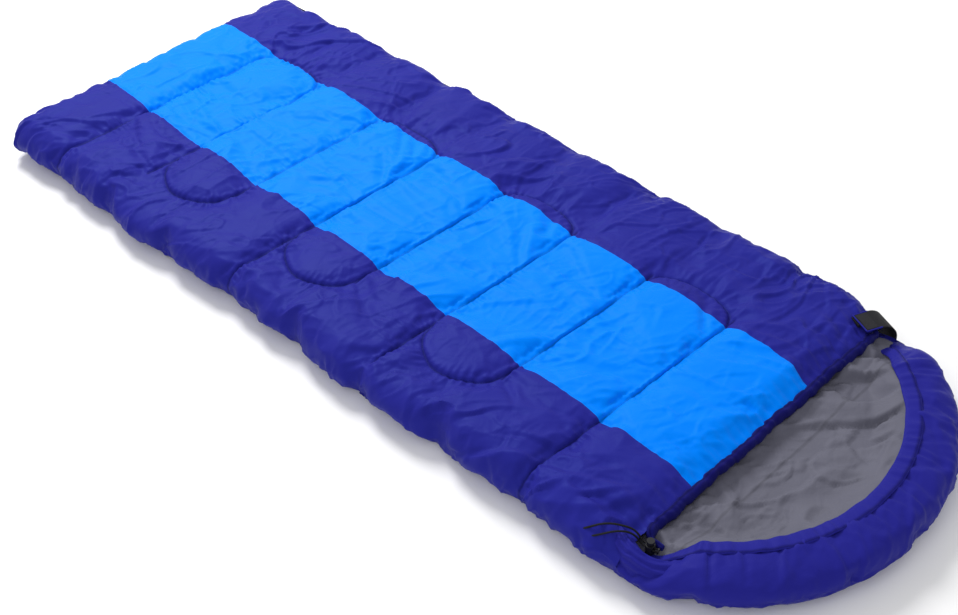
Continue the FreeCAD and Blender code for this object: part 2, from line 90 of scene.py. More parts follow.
# The centre panel's straight edges, slightly askew.
PANEL_HALF = 0.1724
PANEL_MIDDLE = -0.0054
PANEL_MIDDLE_Y = 0.145
PANEL_SKEW = 0.032

# Seams and stitches, and where a casing's stitches are round its outline.
SEAM_WIDTH = 0.0042
THREAD_WIDTH = 0.0012
STITCH = 0.0045
PUCKER_SPACING = 0.017
HOOD_CASING_STITCH = 0.0215
MOUTH_CASING_STITCHES = (0.014, 0.050)

# How the filled quilt rises and gives.
PUFF_REACH = 0.085
PINCH_Y = -0.295
MOUTH_HEIGHT = 0.065
QUILT_TOP = 0.088
QUILT_GIVE = 0.011
GROUND_GAP = 0.0004
CLOTH_STIFFNESS = 15.0

# The closing tab, drawcord, lock and zip.
TAB_PLACE = (0.340, -0.724)
TAB_TURN = -24.0
STRAP_RADIUS = 0.041
STRAP_FLAT = 0.030
CORD_RADIUS = 0.00175
KNOT_PLACE = (-0.4040, -0.6385, 0.0556)
LOCK_PLACE = (-0.350, -0.753)
LOCK_FLOOR = 0.0432
ZIP_CORNER_STEPS = 20
WORN_METAL = (0.16, 0.16, 0.17)

# The camera's turn, rise and roll in degrees, its lens in millimetres, and where it looks.
CAMERA_ANGLES = (-45.209, 41.053, -0.973)
CAMERA_LENS = 55.99
CAMERA_TARGET = (-0.0999, -0.131, 0.040)
CAMERA_DISTANCE = 2.87168

# The lamps' names, places, sizes in metres and powers in watts.
LIGHTS = (
    ("key light", (0.8, 2.4, 3.0), 1.6, 130.0),
    ("fill light", (-2.6, -1.2, 2.6), 2.4, 20.0),
)
SKY_STRENGTH = 0.62
FLOOR_HALF = 60.0

# Where each seam across the top quilt starts, from the mouth to the foot.
SEAM_STARTS = (-0.46, -0.24, -0.37, -0.24, -0.46, -0.23, -0.30, -0.46)

# The rounded lobes that join two seams, measured from the seam nearer the mouth.
ZIP_SIDE_LOBE = (
    (0.150, 0.0),
    (0.178, 0.018),
    (0.193, 0.058),
    (0.197, PITCH / 2),
    (0.193, PITCH - 0.058),
    (0.178, PITCH - 0.018),
    (0.150, PITCH),
)
FOLD_SIDE_LOBE = (
    (-0.215, 0.0),
    (-0.262, 0.012),
    (-0.296, 0.052),
    (-0.306, PITCH / 2),
    (-0.293, PITCH - 0.055),
    (-0.262, PITCH - 0.016),
    (-0.215, PITCH),
)

# How much of a quarter turn the quilts' cloth covers at a rounded edge and at the fold.
EDGE_REACH = 0.985
FOLD_REACH = 1.9
QUARTER = math.pi / 2 * CORNER
SHELL_RIGHT = ZIP_X - CORNER + QUARTER * EDGE_REACH
SHELL_FOOT = FOOT_Y - CORNER + QUARTER * EDGE_REACH

# The drawcord's free ends, from the eyelet to the knot.
UPPER_TAIL = [
    (-0.3440, -0.7720, 0.0622),
    (-0.3478, -0.7630, 0.0630),
    (-0.3478, -0.7505, 0.0632),
    (-0.3478, -0.7375, 0.0638),
    (-0.3486, -0.7306, 0.0735),
    (-0.3525, -0.7200, 0.0815),
    (-0.3610, -0.7070, 0.0850),
    (-0.3710, -0.6935, 0.0875),
    (-0.3823, -0.6815, 0.0870),
    (-0.3926, -0.6695, 0.0800),
    (-0.4000, -0.6570, 0.0700),
    (-0.4039, -0.6450, 0.0600),
]
LOWER_TAIL = [
    (-0.3488, -0.7732, 0.0600),
    (-0.3524, -0.7635, 0.0607),
    (-0.3524, -0.7510, 0.0609),
    (-0.3524, -0.7385, 0.0614),
    (-0.3546, -0.7316, 0.0725),
    (-0.3615, -0.7215, 0.0810),
    (-0.3725, -0.7110, 0.0844),
    (-0.3845, -0.7010, 0.0842),
    (-0.3943, -0.6900, 0.0780),
    (-0.4006, -0.6775, 0.0690),
    (-0.4039, -0.6655, 0.0610),
    (-0.4044, -0.6535, 0.0564),
    (-0.4042, -0.6425, 0.0546),
]


def colour_prop(name, description, default):
    return FloatVectorProperty(
        name=name, description=description, subtype="COLOR", size=3, min=0.0, max=1.0, default=default
    )


def length_prop(name, description, default):
    return FloatProperty(name=name, description=description, default=default, unit="LENGTH")


class SleepingBagColours(bpy.types.PropertyGroup):
    """Colours of the cloths and fittings."""

    shell: colour_prop("Shell", "Main colour of the outer cloth", (0.0190, 0.0190, 0.240))
    centre: colour_prop("Centre panel", "Colour of the long panel down the middle", (0.0, 0.205, 0.90))
    lining: colour_prop("Lining", "Colour of the inner cloth", (0.118, 0.118, 0.158))
    black: colour_prop("Trim", "Colour of the webbing, cord and fittings", (0.010, 0.010, 0.013))
    floor: colour_prop("Floor", "Colour of the studio floor", (0.96, 0.96, 0.96))


class SleepingBagSizes(bpy.types.PropertyGroup):
    """Sizes that change how the cloth is filled and sewn."""

    grid: length_prop("Cloth grid", "Spacing of the cloth's points before smoothing", 0.0065)
    seam_height: length_prop("Seam height", "Height of the quilting seams over the ground", 0.0745)
    crown_height: length_prop("Crown height", "Height of the filled quilt between its seams", 0.083)
    puff: length_prop("Puff", "How far the quilt may swell between seams", 0.007)
    gather: length_prop("Gather", "Depth of the gathers along the drawcord casings", 0.004)
    coil_pitch: length_prop("Zip pitch", "Spacing of the zip's teeth", 0.003)


def sizes():
    return bpy.context.scene.sleeping_bag_sizes


def colours():
    return bpy.context.scene.sleeping_bag_colours


# ---------------------------------------------------------------- number work


def smooth(low, high, value):
    t = np.clip((value - low) / (high - low), 0.0, 1.0)
    return t * t * (3.0 - 2.0 * t)


def noise_table(seed):
    return np.random.default_rng(seed).random((64, 64))


def value_noise(x, y, seed):
    """Smooth noise from 0 to 1 with features one unit across."""
    table = noise_table(seed)
    xi, yi = np.floor(x).astype(int), np.floor(y).astype(int)
    xf, yf = x - xi, y - yi
    xf, yf = xf * xf * (3 - 2 * xf), yf * yf * (3 - 2 * yf)
    a = table[xi % 64, yi % 64]
    b = table[(xi + 1) % 64, yi % 64]
    c = table[xi % 64, (yi + 1) % 64]
    d = table[(xi + 1) % 64, (yi + 1) % 64]
    return (a * (1 - xf) + b * xf) * (1 - yf) + (c * (1 - xf) + d * xf) * yf


def fractal(x, y, seed, octaves=3):
    total, weight = 0.0, 0.0
    for i in range(octaves):
        amp = 0.5**i
        total = total + amp * value_noise(x * 2**i, y * 2**i, seed + i)
        weight += amp
    return total / weight


def ridged(x, y, seed):
    """Noise made of long narrow folds, from 0 to 1."""
    return 1.0 - np.abs(2.0 * fractal(x, y, seed, 2) - 1.0) ** 0.8


def crumple(x, y, size, seed, angles=(2.1, 2.6, 1.5), sharp=4.0):
    """Creases of cloth that was packed small: thin ridges and valleys along the given directions."""
    total = 0.0
    for i, angle in enumerate(angles):
        c, s = math.cos(angle), math.sin(angle)
        u, v = (x * c - y * s) / size, (x * s + y * c) / (size * 3.0)
        bend = value_noise(u * 0.5 + 7.0, v * 1.2 + 3.0, seed + i) * 1.3
        level = value_noise(u + bend, v + bend, seed + 10 + i)
        patch = smooth(0.25, 0.85, value_noise(u * 0.4 + 11.0, v * 0.9, seed + 20 + i))
        ridge = (1.0 - np.abs(2.0 * level - 1.0)) ** sharp
        valley = (1.0 - np.abs(2.0 * level - 0.7)) ** sharp
        total = total + (ridge - 0.6 * valley) * patch * 0.8**i
    return total


def run_along(line):
    """How far along a line each of its points is."""
    return np.concatenate([[0], np.cumsum(np.linalg.norm(np.diff(line, axis=0), axis=1))])


def line_axes(line, up=(0.0, 0.0, 1.0)):
    """Two directions square to a line at each of its points, the second as near to up as it can be."""
    tangent = np.gradient(line, axis=0)
    tangent /= np.linalg.norm(tangent, axis=1)[:, None]
    across = np.cross(tangent, up)
    across /= np.linalg.norm(across, axis=1)[:, None]
    return across, np.cross(across, tangent)


def curve_points(points, spacing):
    """Points evenly spaced along a smooth line through the given ones."""
    p = np.array(points, float)
    p = np.vstack([2 * p[0] - p[1], p, 2 * p[-1] - p[-2]])
    out = []
    for i in range(1, len(p) - 2):
        t = np.linspace(0, 1, 24, endpoint=False)[:, None]
        a, b, c, d = p[i - 1], p[i], p[i + 1], p[i + 2]
        out.append(
            0.5 * (2 * b + (c - a) * t + (2 * a - 5 * b + 4 * c - d) * t**2 + (3 * b - a - 3 * c + d) * t**3)
        )
    dense = np.vstack(out + [p[-2][None]])
    run = run_along(dense)
    steps = np.linspace(0, run[-1], max(2, int(run[-1] / spacing)))
    return np.stack([np.interp(steps, run, dense[:, k]) for k in range(dense.shape[1])], axis=1)


# ---------------------------------------------------------------- mesh helpers


def new_object(name, vertices, faces, uvs=None):
    """A mesh object at the origin.  uvs holds one pair for each vertex."""
    mesh = bpy.data.meshes.new(name)
    mesh.from_pydata([tuple(v) for v in vertices], [], [tuple(f) for f in faces])
    obj = bpy.data.objects.new(name, mesh)
    bpy.context.collection.objects.link(obj)
    if uvs is not None:
        layer = mesh.uv_layers.new(name="Cloth")
        corners = np.empty(len(mesh.loops), int)
        mesh.loops.foreach_get("vertex_index", corners)
        layer.data.foreach_set("uv", np.asarray(uvs, float)[corners].ravel())
    mesh.polygons.foreach_set("use_smooth", [True] * len(mesh.polygons))
    mesh.update()
    return obj


def grid_faces(rows, columns, close_columns=False, keep=None):
    """Quads over a grid of points, optionally joined round, and only those wanted."""
    faces = []
    span = columns if close_columns else columns - 1
    for r in range(rows - 1):
        for c in range(span):
            d = (c + 1) % columns
            quad = (r * columns + c, r * columns + d, (r + 1) * columns + d, (r + 1) * columns + c)
            if keep is None or all(keep[q] for q in quad):
                faces.append(quad)
    return faces


def grid_pairs(rows, columns):
    """One pair for each point of a grid: its row's number and its column's."""
    return np.stack(np.broadcast_arrays(rows[:, None], columns[None]), axis=-1).reshape(-1, 2)


def sheet(name, places, shape, uvs, keep=None):
    """A cloth over a grid: its points' x, y and z, and the two flat places of each."""
    points = np.stack([np.ravel(part) for part in places], axis=1)
    flat = np.stack([np.ravel(part) for part in uvs], axis=1)
    return new_object(name, points, grid_faces(*shape, keep=keep), flat)


def flip_faces(obj):
    for polygon in obj.data.polygons:
        polygon.flip()


def drop_loose(obj):
    b = bmesh.new()
    b.from_mesh(obj.data)
    bmesh.ops.delete(b, geom=[v for v in b.verts if not v.link_faces], context="VERTS")
    b.to_mesh(obj.data)
    b.free()


def coordinates(mesh):
    data = np.empty(len(mesh.vertices) * 3)
    mesh.vertices.foreach_get("co", data)
    return data.reshape(-1, 3)


def set_coordinates(mesh, points):
    mesh.vertices.foreach_set("co", np.asarray(points, float).ravel())
    mesh.update()


def set_attribute(obj, name, values):
    attribute = obj.data.attributes.get(name) or obj.data.attributes.new(name, "FLOAT", "POINT")
    attribute.data.foreach_set("value", np.asarray(values, np.float32))


def apply_all(obj):
    bpy.ops.object.select_all(action="DESELECT")
    bpy.context.view_layer.objects.active = obj
    obj.select_set(True)
    for modifier in list(obj.modifiers):
        bpy.ops.object.modifier_apply(modifier=modifier.name)


def subdivide_smooth(obj):
    modifier = obj.modifiers.new("Smooth", "SUBSURF")
    modifier.levels = modifier.render_levels = 1
    apply_all(obj)


def thicken(obj, depth, offset):
    modifier = obj.modifiers.new("Cloth thickness", "SOLIDIFY")
    modifier.thickness = depth
    modifier.offset = offset
    apply_all(obj)


def fill_with_air(obj, held, pressure, growth, frames, cap, bending):
    """Swell a cloth between the points that are held, by less than cap, with the simulation's result kept."""
    start = coordinates(obj.data)
    group = obj.vertex_groups.new(name="held")
    group.add([int(i) for i in np.nonzero(held)[0]], 1.0, "REPLACE")
    cloth = obj.modifiers.new("Cloth", "CLOTH")
    rules = cloth.settings
    rules.vertex_group_mass = "held"
    rules.quality = 5
    rules.mass = 0.15
    rules.air_damping = 2.0
    rules.tension_stiffness = rules.compression_stiffness = CLOTH_STIFFNESS
    rules.shear_stiffness = CLOTH_STIFFNESS * 0.4
    rules.bending_stiffness = bending
    rules.use_pressure = True
    rules.uniform_pressure_force = pressure
    rules.shrink_min = -growth
    rules.effector_weights.gravity = 0.0
    cloth.collision_settings.use_collision = False
    cloth.point_cache.frame_start = 1
    cloth.point_cache.frame_end = frames
    for number in range(1, frames + 1):
        bpy.context.scene.frame_set(number)

    swollen = obj.evaluated_get(bpy.context.evaluated_depsgraph_get()).to_mesh()
    moved = coordinates(swollen) - start
    obj.to_mesh_clear()
    distance = np.linalg.norm(moved, axis=1)
    limit = cap * np.tanh(distance / cap)
    moved *= (limit / np.maximum(distance, 1e-9))[:, None]
    obj.modifiers.remove(cloth)
    obj.vertex_groups.remove(group)
    bpy.context.scene.frame_set(1)
    set_coordinates(obj.data, start + moved)


# ---------------------------------------------------------------- materials


class Socket:
    """A value in a material, so that shader sums read as plain sums."""

    def __init__(self, maker, output):
        self.maker, self.output = maker, output

    def _sum(self, operation, *values):
        return self.maker.node("ShaderNodeMath", {"operation": operation}, values)

    def __add__(self, other):
        return self._sum("ADD", self, other)

    def __radd__(self, other):
        return self._sum("ADD", other, self)

    def __sub__(self, other):
        return self._sum("SUBTRACT", self, other)

    def __rsub__(self, other):
        return self._sum("SUBTRACT", other, self)

    def __mul__(self, other):
        return self._sum("MULTIPLY", self, other)

    def __rmul__(self, other):
        return self._sum("MULTIPLY", other, self)

    def power(self, other):
        return self._sum("POWER", self, other)

    def sine(self):
        return self._sum("SINE", self)

    def clamped(self):
        return self.maker.node("ShaderNodeClamp", {}, (self,))

    def above(self, other):
        return self._sum("GREATER_THAN", self, other)


class Finish:
    """Builds one material's nodes."""

    def __init__(self, name):
        self.material = bpy.data.materials.new(name)
        self.material.use_nodes = True
        self.tree = self.material.node_tree
        self.tree.nodes.clear()
        self.shader = self.tree.nodes.new("ShaderNodeBsdfPrincipled")
        output = self.tree.nodes.new("ShaderNodeOutputMaterial")
        self.tree.links.new(self.shader.outputs[0], output.inputs[0])

    def node(self, kind, settings=None, values=(), pick=0):
        """Any other node: its settings first, then the values or links of its sockets."""
        node = self.tree.nodes.new(kind)
        for key, value in (settings or {}).items():
            setattr(node, key, value)
        pairs = values.items() if isinstance(values, dict) else enumerate(values)
        for key, value in pairs:
            if isinstance(value, Socket):
                self.tree.links.new(value.output, node.inputs[key])
            elif value is not None:
                node.inputs[key].default_value = value
        return Socket(self, node.outputs[pick])

    def cloth_place(self):
        return self.node("ShaderNodeUVMap", {"uv_map": "Cloth"})

    def object_place(self):
        return self.node("ShaderNodeTexCoord", pick="Object")

    def attribute(self, name):
        return self.node("ShaderNodeAttribute", {"attribute_name": name}, pick="Fac")

    def parts(self, place):
        """The two numbers of a cloth place."""
        return [self.node("ShaderNodeSeparateXYZ", {}, (place,), pick) for pick in (0, 1)]

    def noise(self, place, scale, detail=3.0, roughness=0.5, distortion=0.0):
        values = {
            "Vector": place,
            "Scale": scale,
            "Detail": detail,
            "Roughness": roughness,
            "Distortion": distortion,
        }
        return self.node("ShaderNodeTexNoise", {}, values, "Fac")

    def waves(self, place, scale, direction):
        settings = {"wave_type": "BANDS", "bands_direction": direction, "wave_profile": "SIN"}
        return self.node("ShaderNodeTexWave", settings, {"Vector": place, "Scale": scale}, "Fac")

    def mix(self, factor, first, second):
        """Mix two colours."""
        settings = {"data_type": "RGBA", "blend_type": "MIX"}
        values = {0: factor, 6: self.as_colour(first), 7: self.as_colour(second)}
        return self.node("ShaderNodeMix", settings, values, 2)

    @staticmethod
    def as_colour(value):
        return value if isinstance(value, Socket) else (*value, 1.0)

    def link(self, name, value):
        socket = self.shader.inputs[name]
        if isinstance(value, Socket):
            self.tree.links.new(value.output, socket)
        else:
            socket.default_value = value

    def bump(self, height, strength, distance, under=None):
        values = {"Strength": strength, "Distance": distance, "Height": height, "Normal": under}
        return self.node("ShaderNodeBump", {}, values)


def shade(colour, factor):
    """A colour made lighter or darker."""
    return tuple(min(1.0, c * factor) for c in colour)


def taffeta(name, colour, centre=None):
    """Smooth woven polyester with a row of stitches in each seam, and painted shade darkening the seam
    grooves.
    """
    finish = Finish(name)
    place = finish.cloth_place()
    gap = finish.attribute("gap")
    groove = (1.0 - gap * (1.0 / SEAM_WIDTH)).clamped()
    thread = (1.0 - gap * (1.0 / THREAD_WIDTH)).clamped()
    stitch = thread * (finish.attribute("run") * (2 * math.pi / STITCH)).sine().above(-0.3)
    cloudy = finish.noise(place, 9.0, 4.0)
    fine = finish.noise(place, 120.0, 3.0)
    creases = finish.noise(place, 26.0, 4.0, 0.6, 1.4)
    across = finish.waves(place, 900.0, "X")
    along = finish.waves(place, 900.0, "Y")
    base = finish.mix(cloudy, shade(colour, 0.90), shade(colour, 1.10))
    # painted shade: the seam grooves are darkened to 0.3 of the cloth's colour
    painted_seam_shade = shade(colour, 0.30)
    if centre is not None:
        u, v = finish.parts(place)
        aside = u - (v * PANEL_SKEW + (PANEL_MIDDLE - PANEL_SKEW * PANEL_MIDDLE_Y))
        inside = aside.above(-PANEL_HALF) * (1.0 - aside.above(PANEL_HALF))
        middle = finish.mix(cloudy, shade(centre, 0.95), shade(centre, 1.05))
        base = finish.mix(inside, base, middle)
        # painted shade in the centre panel's seams: its colour darkened to 0.45
        painted_seam_shade = finish.mix(inside, painted_seam_shade, shade(centre, 0.45))
    # the painted seam shade is mixed in over each seam groove
    finish.link("Base Color", finish.mix(groove * 0.75, base, painted_seam_shade))
    finish.link("Roughness", 0.46 + 0.10 * cloudy + 0.10 * groove)
    weave = finish.bump(across * along, 0.05, 0.0002)
    grain = finish.bump(fine, 0.12, 0.0006, weave)
    folds = finish.bump(creases, 0.35, 0.0035, grain)
    finish.link("Normal", finish.bump(stitch, 0.5, 0.0012, folds))
    finish.link("Specular IOR Level", 0.12)
    finish.link("Specular Tint", finish.as_colour(centre or colour))
    return finish.material


def brushed_lining(name, colour):
    """Matt woven lining with a slight heather, and painted shade darkening its seams."""
    finish = Finish(name)
    place = finish.cloth_place()
    cloudy = finish.noise(place, 14.0, 4.0)
    fibre = finish.noise(place, 420.0, 3.0, 0.7)
    groove = (1.0 - finish.attribute("gap") * (1.0 / SEAM_WIDTH)).clamped()
    base = finish.mix(cloudy * 0.7 + fibre * 0.3, shade(colour, 0.82), shade(colour, 1.14))
    # painted shade: the lining is darkened to 0.4 of its colour along its seams
    base = finish.mix(groove * 0.6, base, shade(colour, 0.40))
    finish.link("Base Color", base)
    finish.link("Roughness", 0.62 + 0.12 * fibre)
    weave = finish.bump(finish.waves(place, 700.0, "X") * finish.waves(place, 700.0, "Y"), 0.08, 0.0002)
    grain = finish.bump(fibre, 0.18, 0.0006, weave)
    finish.link("Normal", finish.bump(finish.noise(place, 30.0, 4.0, 0.6, 1.4), 0.45, 0.004, grain))
    finish.link("Specular IOR Level", 0.25)
    finish.link("Sheen Weight", 0.05)
    finish.link("Sheen Roughness", 0.5)
    return finish.material


def webbing(name, colour, ribs=420.0, on_cloth=True):
    """Woven tape: ribs across and a finer thread along."""
    finish = Finish(name)
    place = finish.cloth_place() if on_cloth else finish.object_place()
    rib = finish.waves(place, ribs, "DIAGONAL")
    thread = finish.waves(place, ribs * 2.2, "Y")
    wear = finish.noise(place, 60.0, 3.0)
    base = finish.mix(rib * 0.6 + wear * 0.4, shade(colour, 0.5), shade(colour, 1.5))
    finish.link("Base Color", base)
    finish.link("Roughness", 0.58 + 0.2 * wear)
    finish.link("Normal", finish.bump(rib * 0.7 + thread * 0.3, 0.55, 0.0004))
    finish.link("Specular IOR Level", 0.22)
    return finish.material


def braid(name, colour):
    """Round braided cord."""
    finish = Finish(name)
    place = finish.object_place()
    bands = finish.waves(place, 380.0, "DIAGONAL")
    fibre = finish.noise(place, 1500.0, 3.0)
    finish.link("Base Color", finish.mix(bands, shade(colour, 0.3), shade(colour, 0.9)))
    finish.link("Roughness", 0.55 + 0.2 * fibre)
    finish.link("Normal", finish.bump(bands * 0.8 + fibre * 0.2, 0.5, 0.0003))
    finish.link("Specular IOR Level", 0.2)
    return finish.material


def moulded_plastic(name, colour, rough=0.4):
    finish = Finish(name)
    place = finish.object_place()
    grain = finish.noise(place, 900.0, 2.0)
    smear = finish.noise(place, 60.0, 3.0)
    finish.link("Base Color", finish.mix(smear, shade(colour, 0.7), shade(colour, 1.6)))
    finish.link("Roughness", rough + 0.15 * smear)
    finish.link("Normal", finish.bump(grain, 0.12, 0.0002))
    finish.link("Specular IOR Level", 0.25)
    return finish.material


def enamelled_metal(name, colour):
    finish = Finish(name)
    place = finish.object_place()
    smear = finish.noise(place, 140.0, 4.0)
    chips = finish.noise(place, 700.0, 2.0).power(6.0) * 8.0
    finish.link("Base Color", finish.mix(chips, colour, WORN_METAL))
    finish.link("Roughness", 0.28 + 0.2 * smear)
    finish.link("Metallic", 0.75 + 0.2 * chips)
    finish.link("Normal", finish.bump(smear, 0.12, 0.0002))
    return finish.material


FINISHES = {}


def finish_of(name):
    """The object's materials, each made once."""
    if name not in FINISHES:
        tint = colours()
        shell, black = tuple(tint.shell), tuple(tint.black)
        makers = {
            "shell": lambda: taffeta("quilt shell", shell, tuple(tint.centre)),
            "plain_shell": lambda: taffeta("plain shell", shell),
            "lining": lambda: brushed_lining("brushed lining", tuple(tint.lining)),
            # painted shade: the mouth casing is the shell cloth with its colour darkened to 0.55
            "casing": lambda: taffeta("drawcord casing", shade(shell, 0.55)),
            "webbing": lambda: webbing("black webbing", black),
            "label": lambda: webbing("label cloth", shade(black, 1.4), 900.0),
            "cord": lambda: braid("braided cord", black),
            "plastic": lambda: moulded_plastic("black plastic", black),
            "coil": lambda: moulded_plastic("nylon coil", black, 0.42),
            "metal": lambda: enamelled_metal("black enamel", black),
            "hooks": lambda: webbing("hook and loop", shade(black, 0.8), 1400.0, False),
        }
        FINISHES[name] = makers[name]()
    return FINISHES[name]


def dress(obj, finish):
    obj.data.materials.append(finish_of(finish))


# ---------------------------------------------------------------- shapes of the bag


def side_shift(x, y):
    """How far the zip side draws in towards the mouth."""
    near = 1.0 - smooth(MOUTH_Y, MOUTH_Y + TAPER_LENGTH + 0.02, y)
    return -TAPER_WIDTH * near * np.clip(x / ZIP_X, 0.0, 1.0)


def skewed_row(x, y):
    """The seams run slightly askew across the bag, apart from its two ends."""
    mask = smooth(MOUTH_Y, MOUTH_Y + 0.12, y) * (1.0 - smooth(0.88, FOOT_Y - 0.01, y))
    return y + mask * (0.006 - 0.032 * x)


def wrapped(a, b):
    """Wrap flat cloth places over a slab with rounded edges: plan place, and 1 on top to 0 at the side."""
    core_x = np.clip(a, FOLD_X + CORNER, ZIP_X - CORNER)
    core_y = np.minimum(b, FOOT_Y - CORNER)
    ea, eb = (a - core_x) / QUARTER, np.clip((b - core_y) / QUARTER, 0, 1)
    beyond = np.maximum(np.abs(ea) - 1.0, 0.0)
    ea = np.clip(ea, -1, 1)
    ua, ub = ea * np.sqrt(1 - eb**2 / 2), eb * np.sqrt(1 - ea**2 / 2)
    reach = np.sqrt(ua**2 + ub**2)
    angle = np.minimum(reach + beyond, 2.0) * math.pi / 2
    ux, uy = ua / np.maximum(reach, 1e-9), ub / np.maximum(reach, 1e-9)
    x = core_x + CORNER * np.sin(angle) * ux
    y = core_y + CORNER * np.sin(angle) * uy
    return x, y, np.cos(angle)


def off_row(y):
    """Distance to the nearest seam across the quilt, as a share of the seams' spacing."""
    rows = (y - MOUTH_Y) / PITCH
    return np.abs(rows - np.round(rows))


def quilting_lines():
    """Seams in flat cloth places: the runs across, and the rounded lobes that join them."""
    row_y = [MOUTH_Y + PITCH * k for k in range(len(SEAM_STARTS) + 1)]
    lines = [[(start, y), (0.0, y), (0.170, y)] for start, y in zip(SEAM_STARTS, row_y[1:])]
    for lobe, rows in ((ZIP_SIDE_LOBE, (1, 3, 5, 7)), (FOLD_SIDE_LOBE, (2, 4, 6))):
        lines += [[(x, row_y[k] + y) for x, y in lobe] for k in rows]
    return lines


def seam_samples(spacing=0.002):
    """Every seam as a row of points, each with the run along its own seam."""
    dense = [curve_points(points, spacing) for points in quilting_lines()]
    return np.vstack(dense), np.concatenate([np.arange(len(places)) * spacing for places in dense])


def nearest_seam(flat):
    """Distance to the nearest seam, the place on it and the run along it."""
    places, runs = seam_samples()
    tree = KDTree(len(places))
    for i, (x, y) in enumerate(places):
        tree.insert((x, y, 0.0), i)
    tree.balance()
    found = [tree.find((x, y, 0.0)) for x, y in flat.tolist()]
    which = np.array([hit[1] for hit in found])
    return np.array([hit[2] for hit in found]), places[which], runs[which]


def quilt_grid(step):
    """Flat places of the top quilt's shell, wrapped past the zip side, the foot and the fold."""
    left = FOLD_X + CORNER - QUARTER * FOLD_REACH
    columns = int(round((SHELL_RIGHT - left) / step))
    a = np.linspace(left, SHELL_RIGHT, columns + 1)
    rows = int((SHELL_FOOT - MOUTH_Y) / step)
    b = MOUTH_Y + step * np.arange(rows + 1)
    return np.meshgrid(a, b)


def quilt_surface(a, b, seam_gap):
    """Where a flat place of the top quilt's shell lies before it is filled out."""
    x, y, rise = wrapped(a, b)
    hollow = 1.0 - np.clip(seam_gap / PUFF_REACH, 0.0, 1.0)
    fullness = np.sqrt(1.0 - hollow**2.2)
    far = smooth(0.205, 0.30, x)
    row = off_row(b) * 2.0
    seam_z = sizes().seam_height
    crown = seam_z + (sizes().crown_height - seam_z) * fullness
    crown -= far * 0.008 * (1 - smooth(0.0, 0.7, row))
    mouth = 1.0 - smooth(0.0, 0.050, y - MOUTH_Y)
    crown = crown * (1 - mouth) + mouth * MOUTH_HEIGHT
    down = MID_Z + 0.001
    z = np.where(rise >= 0, down + (crown - down) * rise, down + down * rise)
    z = np.maximum(z, 0.0006)
    y = skewed_row(x, y) - 0.006 * (1.0 - smooth(0.0, 0.024, y - MOUTH_Y))
    fold = 1 - smooth(-0.40, -0.34, x)
    bulge = fold * 0.012 * smooth(0.0, 0.5, row) * np.sin(np.clip(z / QUILT_TOP, 0, 1) * math.pi)
    pinch = fold * 0.011 * np.exp(-(((y - PINCH_Y) / 0.035) ** 2)) * smooth(0.02, 0.05, z)
    wander = fold * 0.005 * np.sin(y * 9.0)
    x = x + pinch + wander - bulge + side_shift(x, y)
    return np.stack([x, y, z], axis=-1)


def make_top_shell():
    step = sizes().grid
    a, b = quilt_grid(step)
    shape = a.shape
    flat = np.stack([a.ravel(), b.ravel()], axis=1)
    gap, on_seam, _ = nearest_seam(flat)
    sewn = gap < step * 0.56
    flat[sewn] = on_seam[sewn]
    gap[sewn] = 0.0
    points = quilt_surface(flat[:, 0], flat[:, 1], gap)
    obj = new_object("top_quilt_shell", points, grid_faces(*shape), flat)
    edge = np.zeros(shape, bool)
    edge[[0, -1]] = True
    edge[:, [0, 1, 2, -1]] = True
    held = sewn | edge.ravel()
    fill_with_air(obj, held, pressure=0.8, growth=0.06, frames=26, cap=sizes().puff, bending=0.04)
    gathers(obj, flat)
    subdivide_smooth(obj)
    fine = coordinates(obj.data)
    finish_quilt_attributes(obj, fine)
    over = np.maximum(fine[:, 2] - QUILT_TOP, 0.0)
    fine[:, 2] = np.maximum(fine[:, 2] - over + QUILT_GIVE * np.tanh(over / QUILT_GIVE), GROUND_GAP)
    set_coordinates(obj.data, fine)
    dress(obj, "shell")
    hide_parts("top_shell_fold_side", "top_shell_centre", "top_shell_zip_side", "top_filling")
    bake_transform(obj)


def gathers(obj, flat):
    """Crowd the cloth into small folds along the mouth."""
    points = coordinates(obj.data)
    x, away = flat[:, 0], flat[:, 1] - MOUTH_Y
    reach = 0.030 + 0.050 * value_noise(x * 22.0, 0 * x, 6)
    wave = np.sin(x * 330.0 + 6.0 * fractal(x * 30.0, away * 8.0, 5))
    points[:, 2] += wave * np.exp(-((away / reach) ** 2)) * sizes().gather * 0.6
    bunched = smooth(0.15, 0.24, np.abs(x)) * smooth(0.004, 0.020, away)
    slant = x * 140.0 - away * 26.0 + 7.0 * fractal(x * 12.0, away * 6.0, 7)
    points[:, 2] += np.sin(slant) * bunched * np.exp(-((away / 0.085) ** 2)) * sizes().gather * 0.75
    set_coordinates(obj.data, points)


def uv_by_vertex(obj):
    """The flat place of each point, after smoothing."""
    mesh = obj.data
    uv = np.empty(len(mesh.loops) * 2)
    mesh.uv_layers["Cloth"].data.foreach_get("uv", uv)
    corner = np.empty(len(mesh.loops), int)
    mesh.loops.foreach_get("vertex_index", corner)
    out = np.zeros((len(mesh.vertices), 2))
    out[corner] = uv.reshape(-1, 2)
    return out


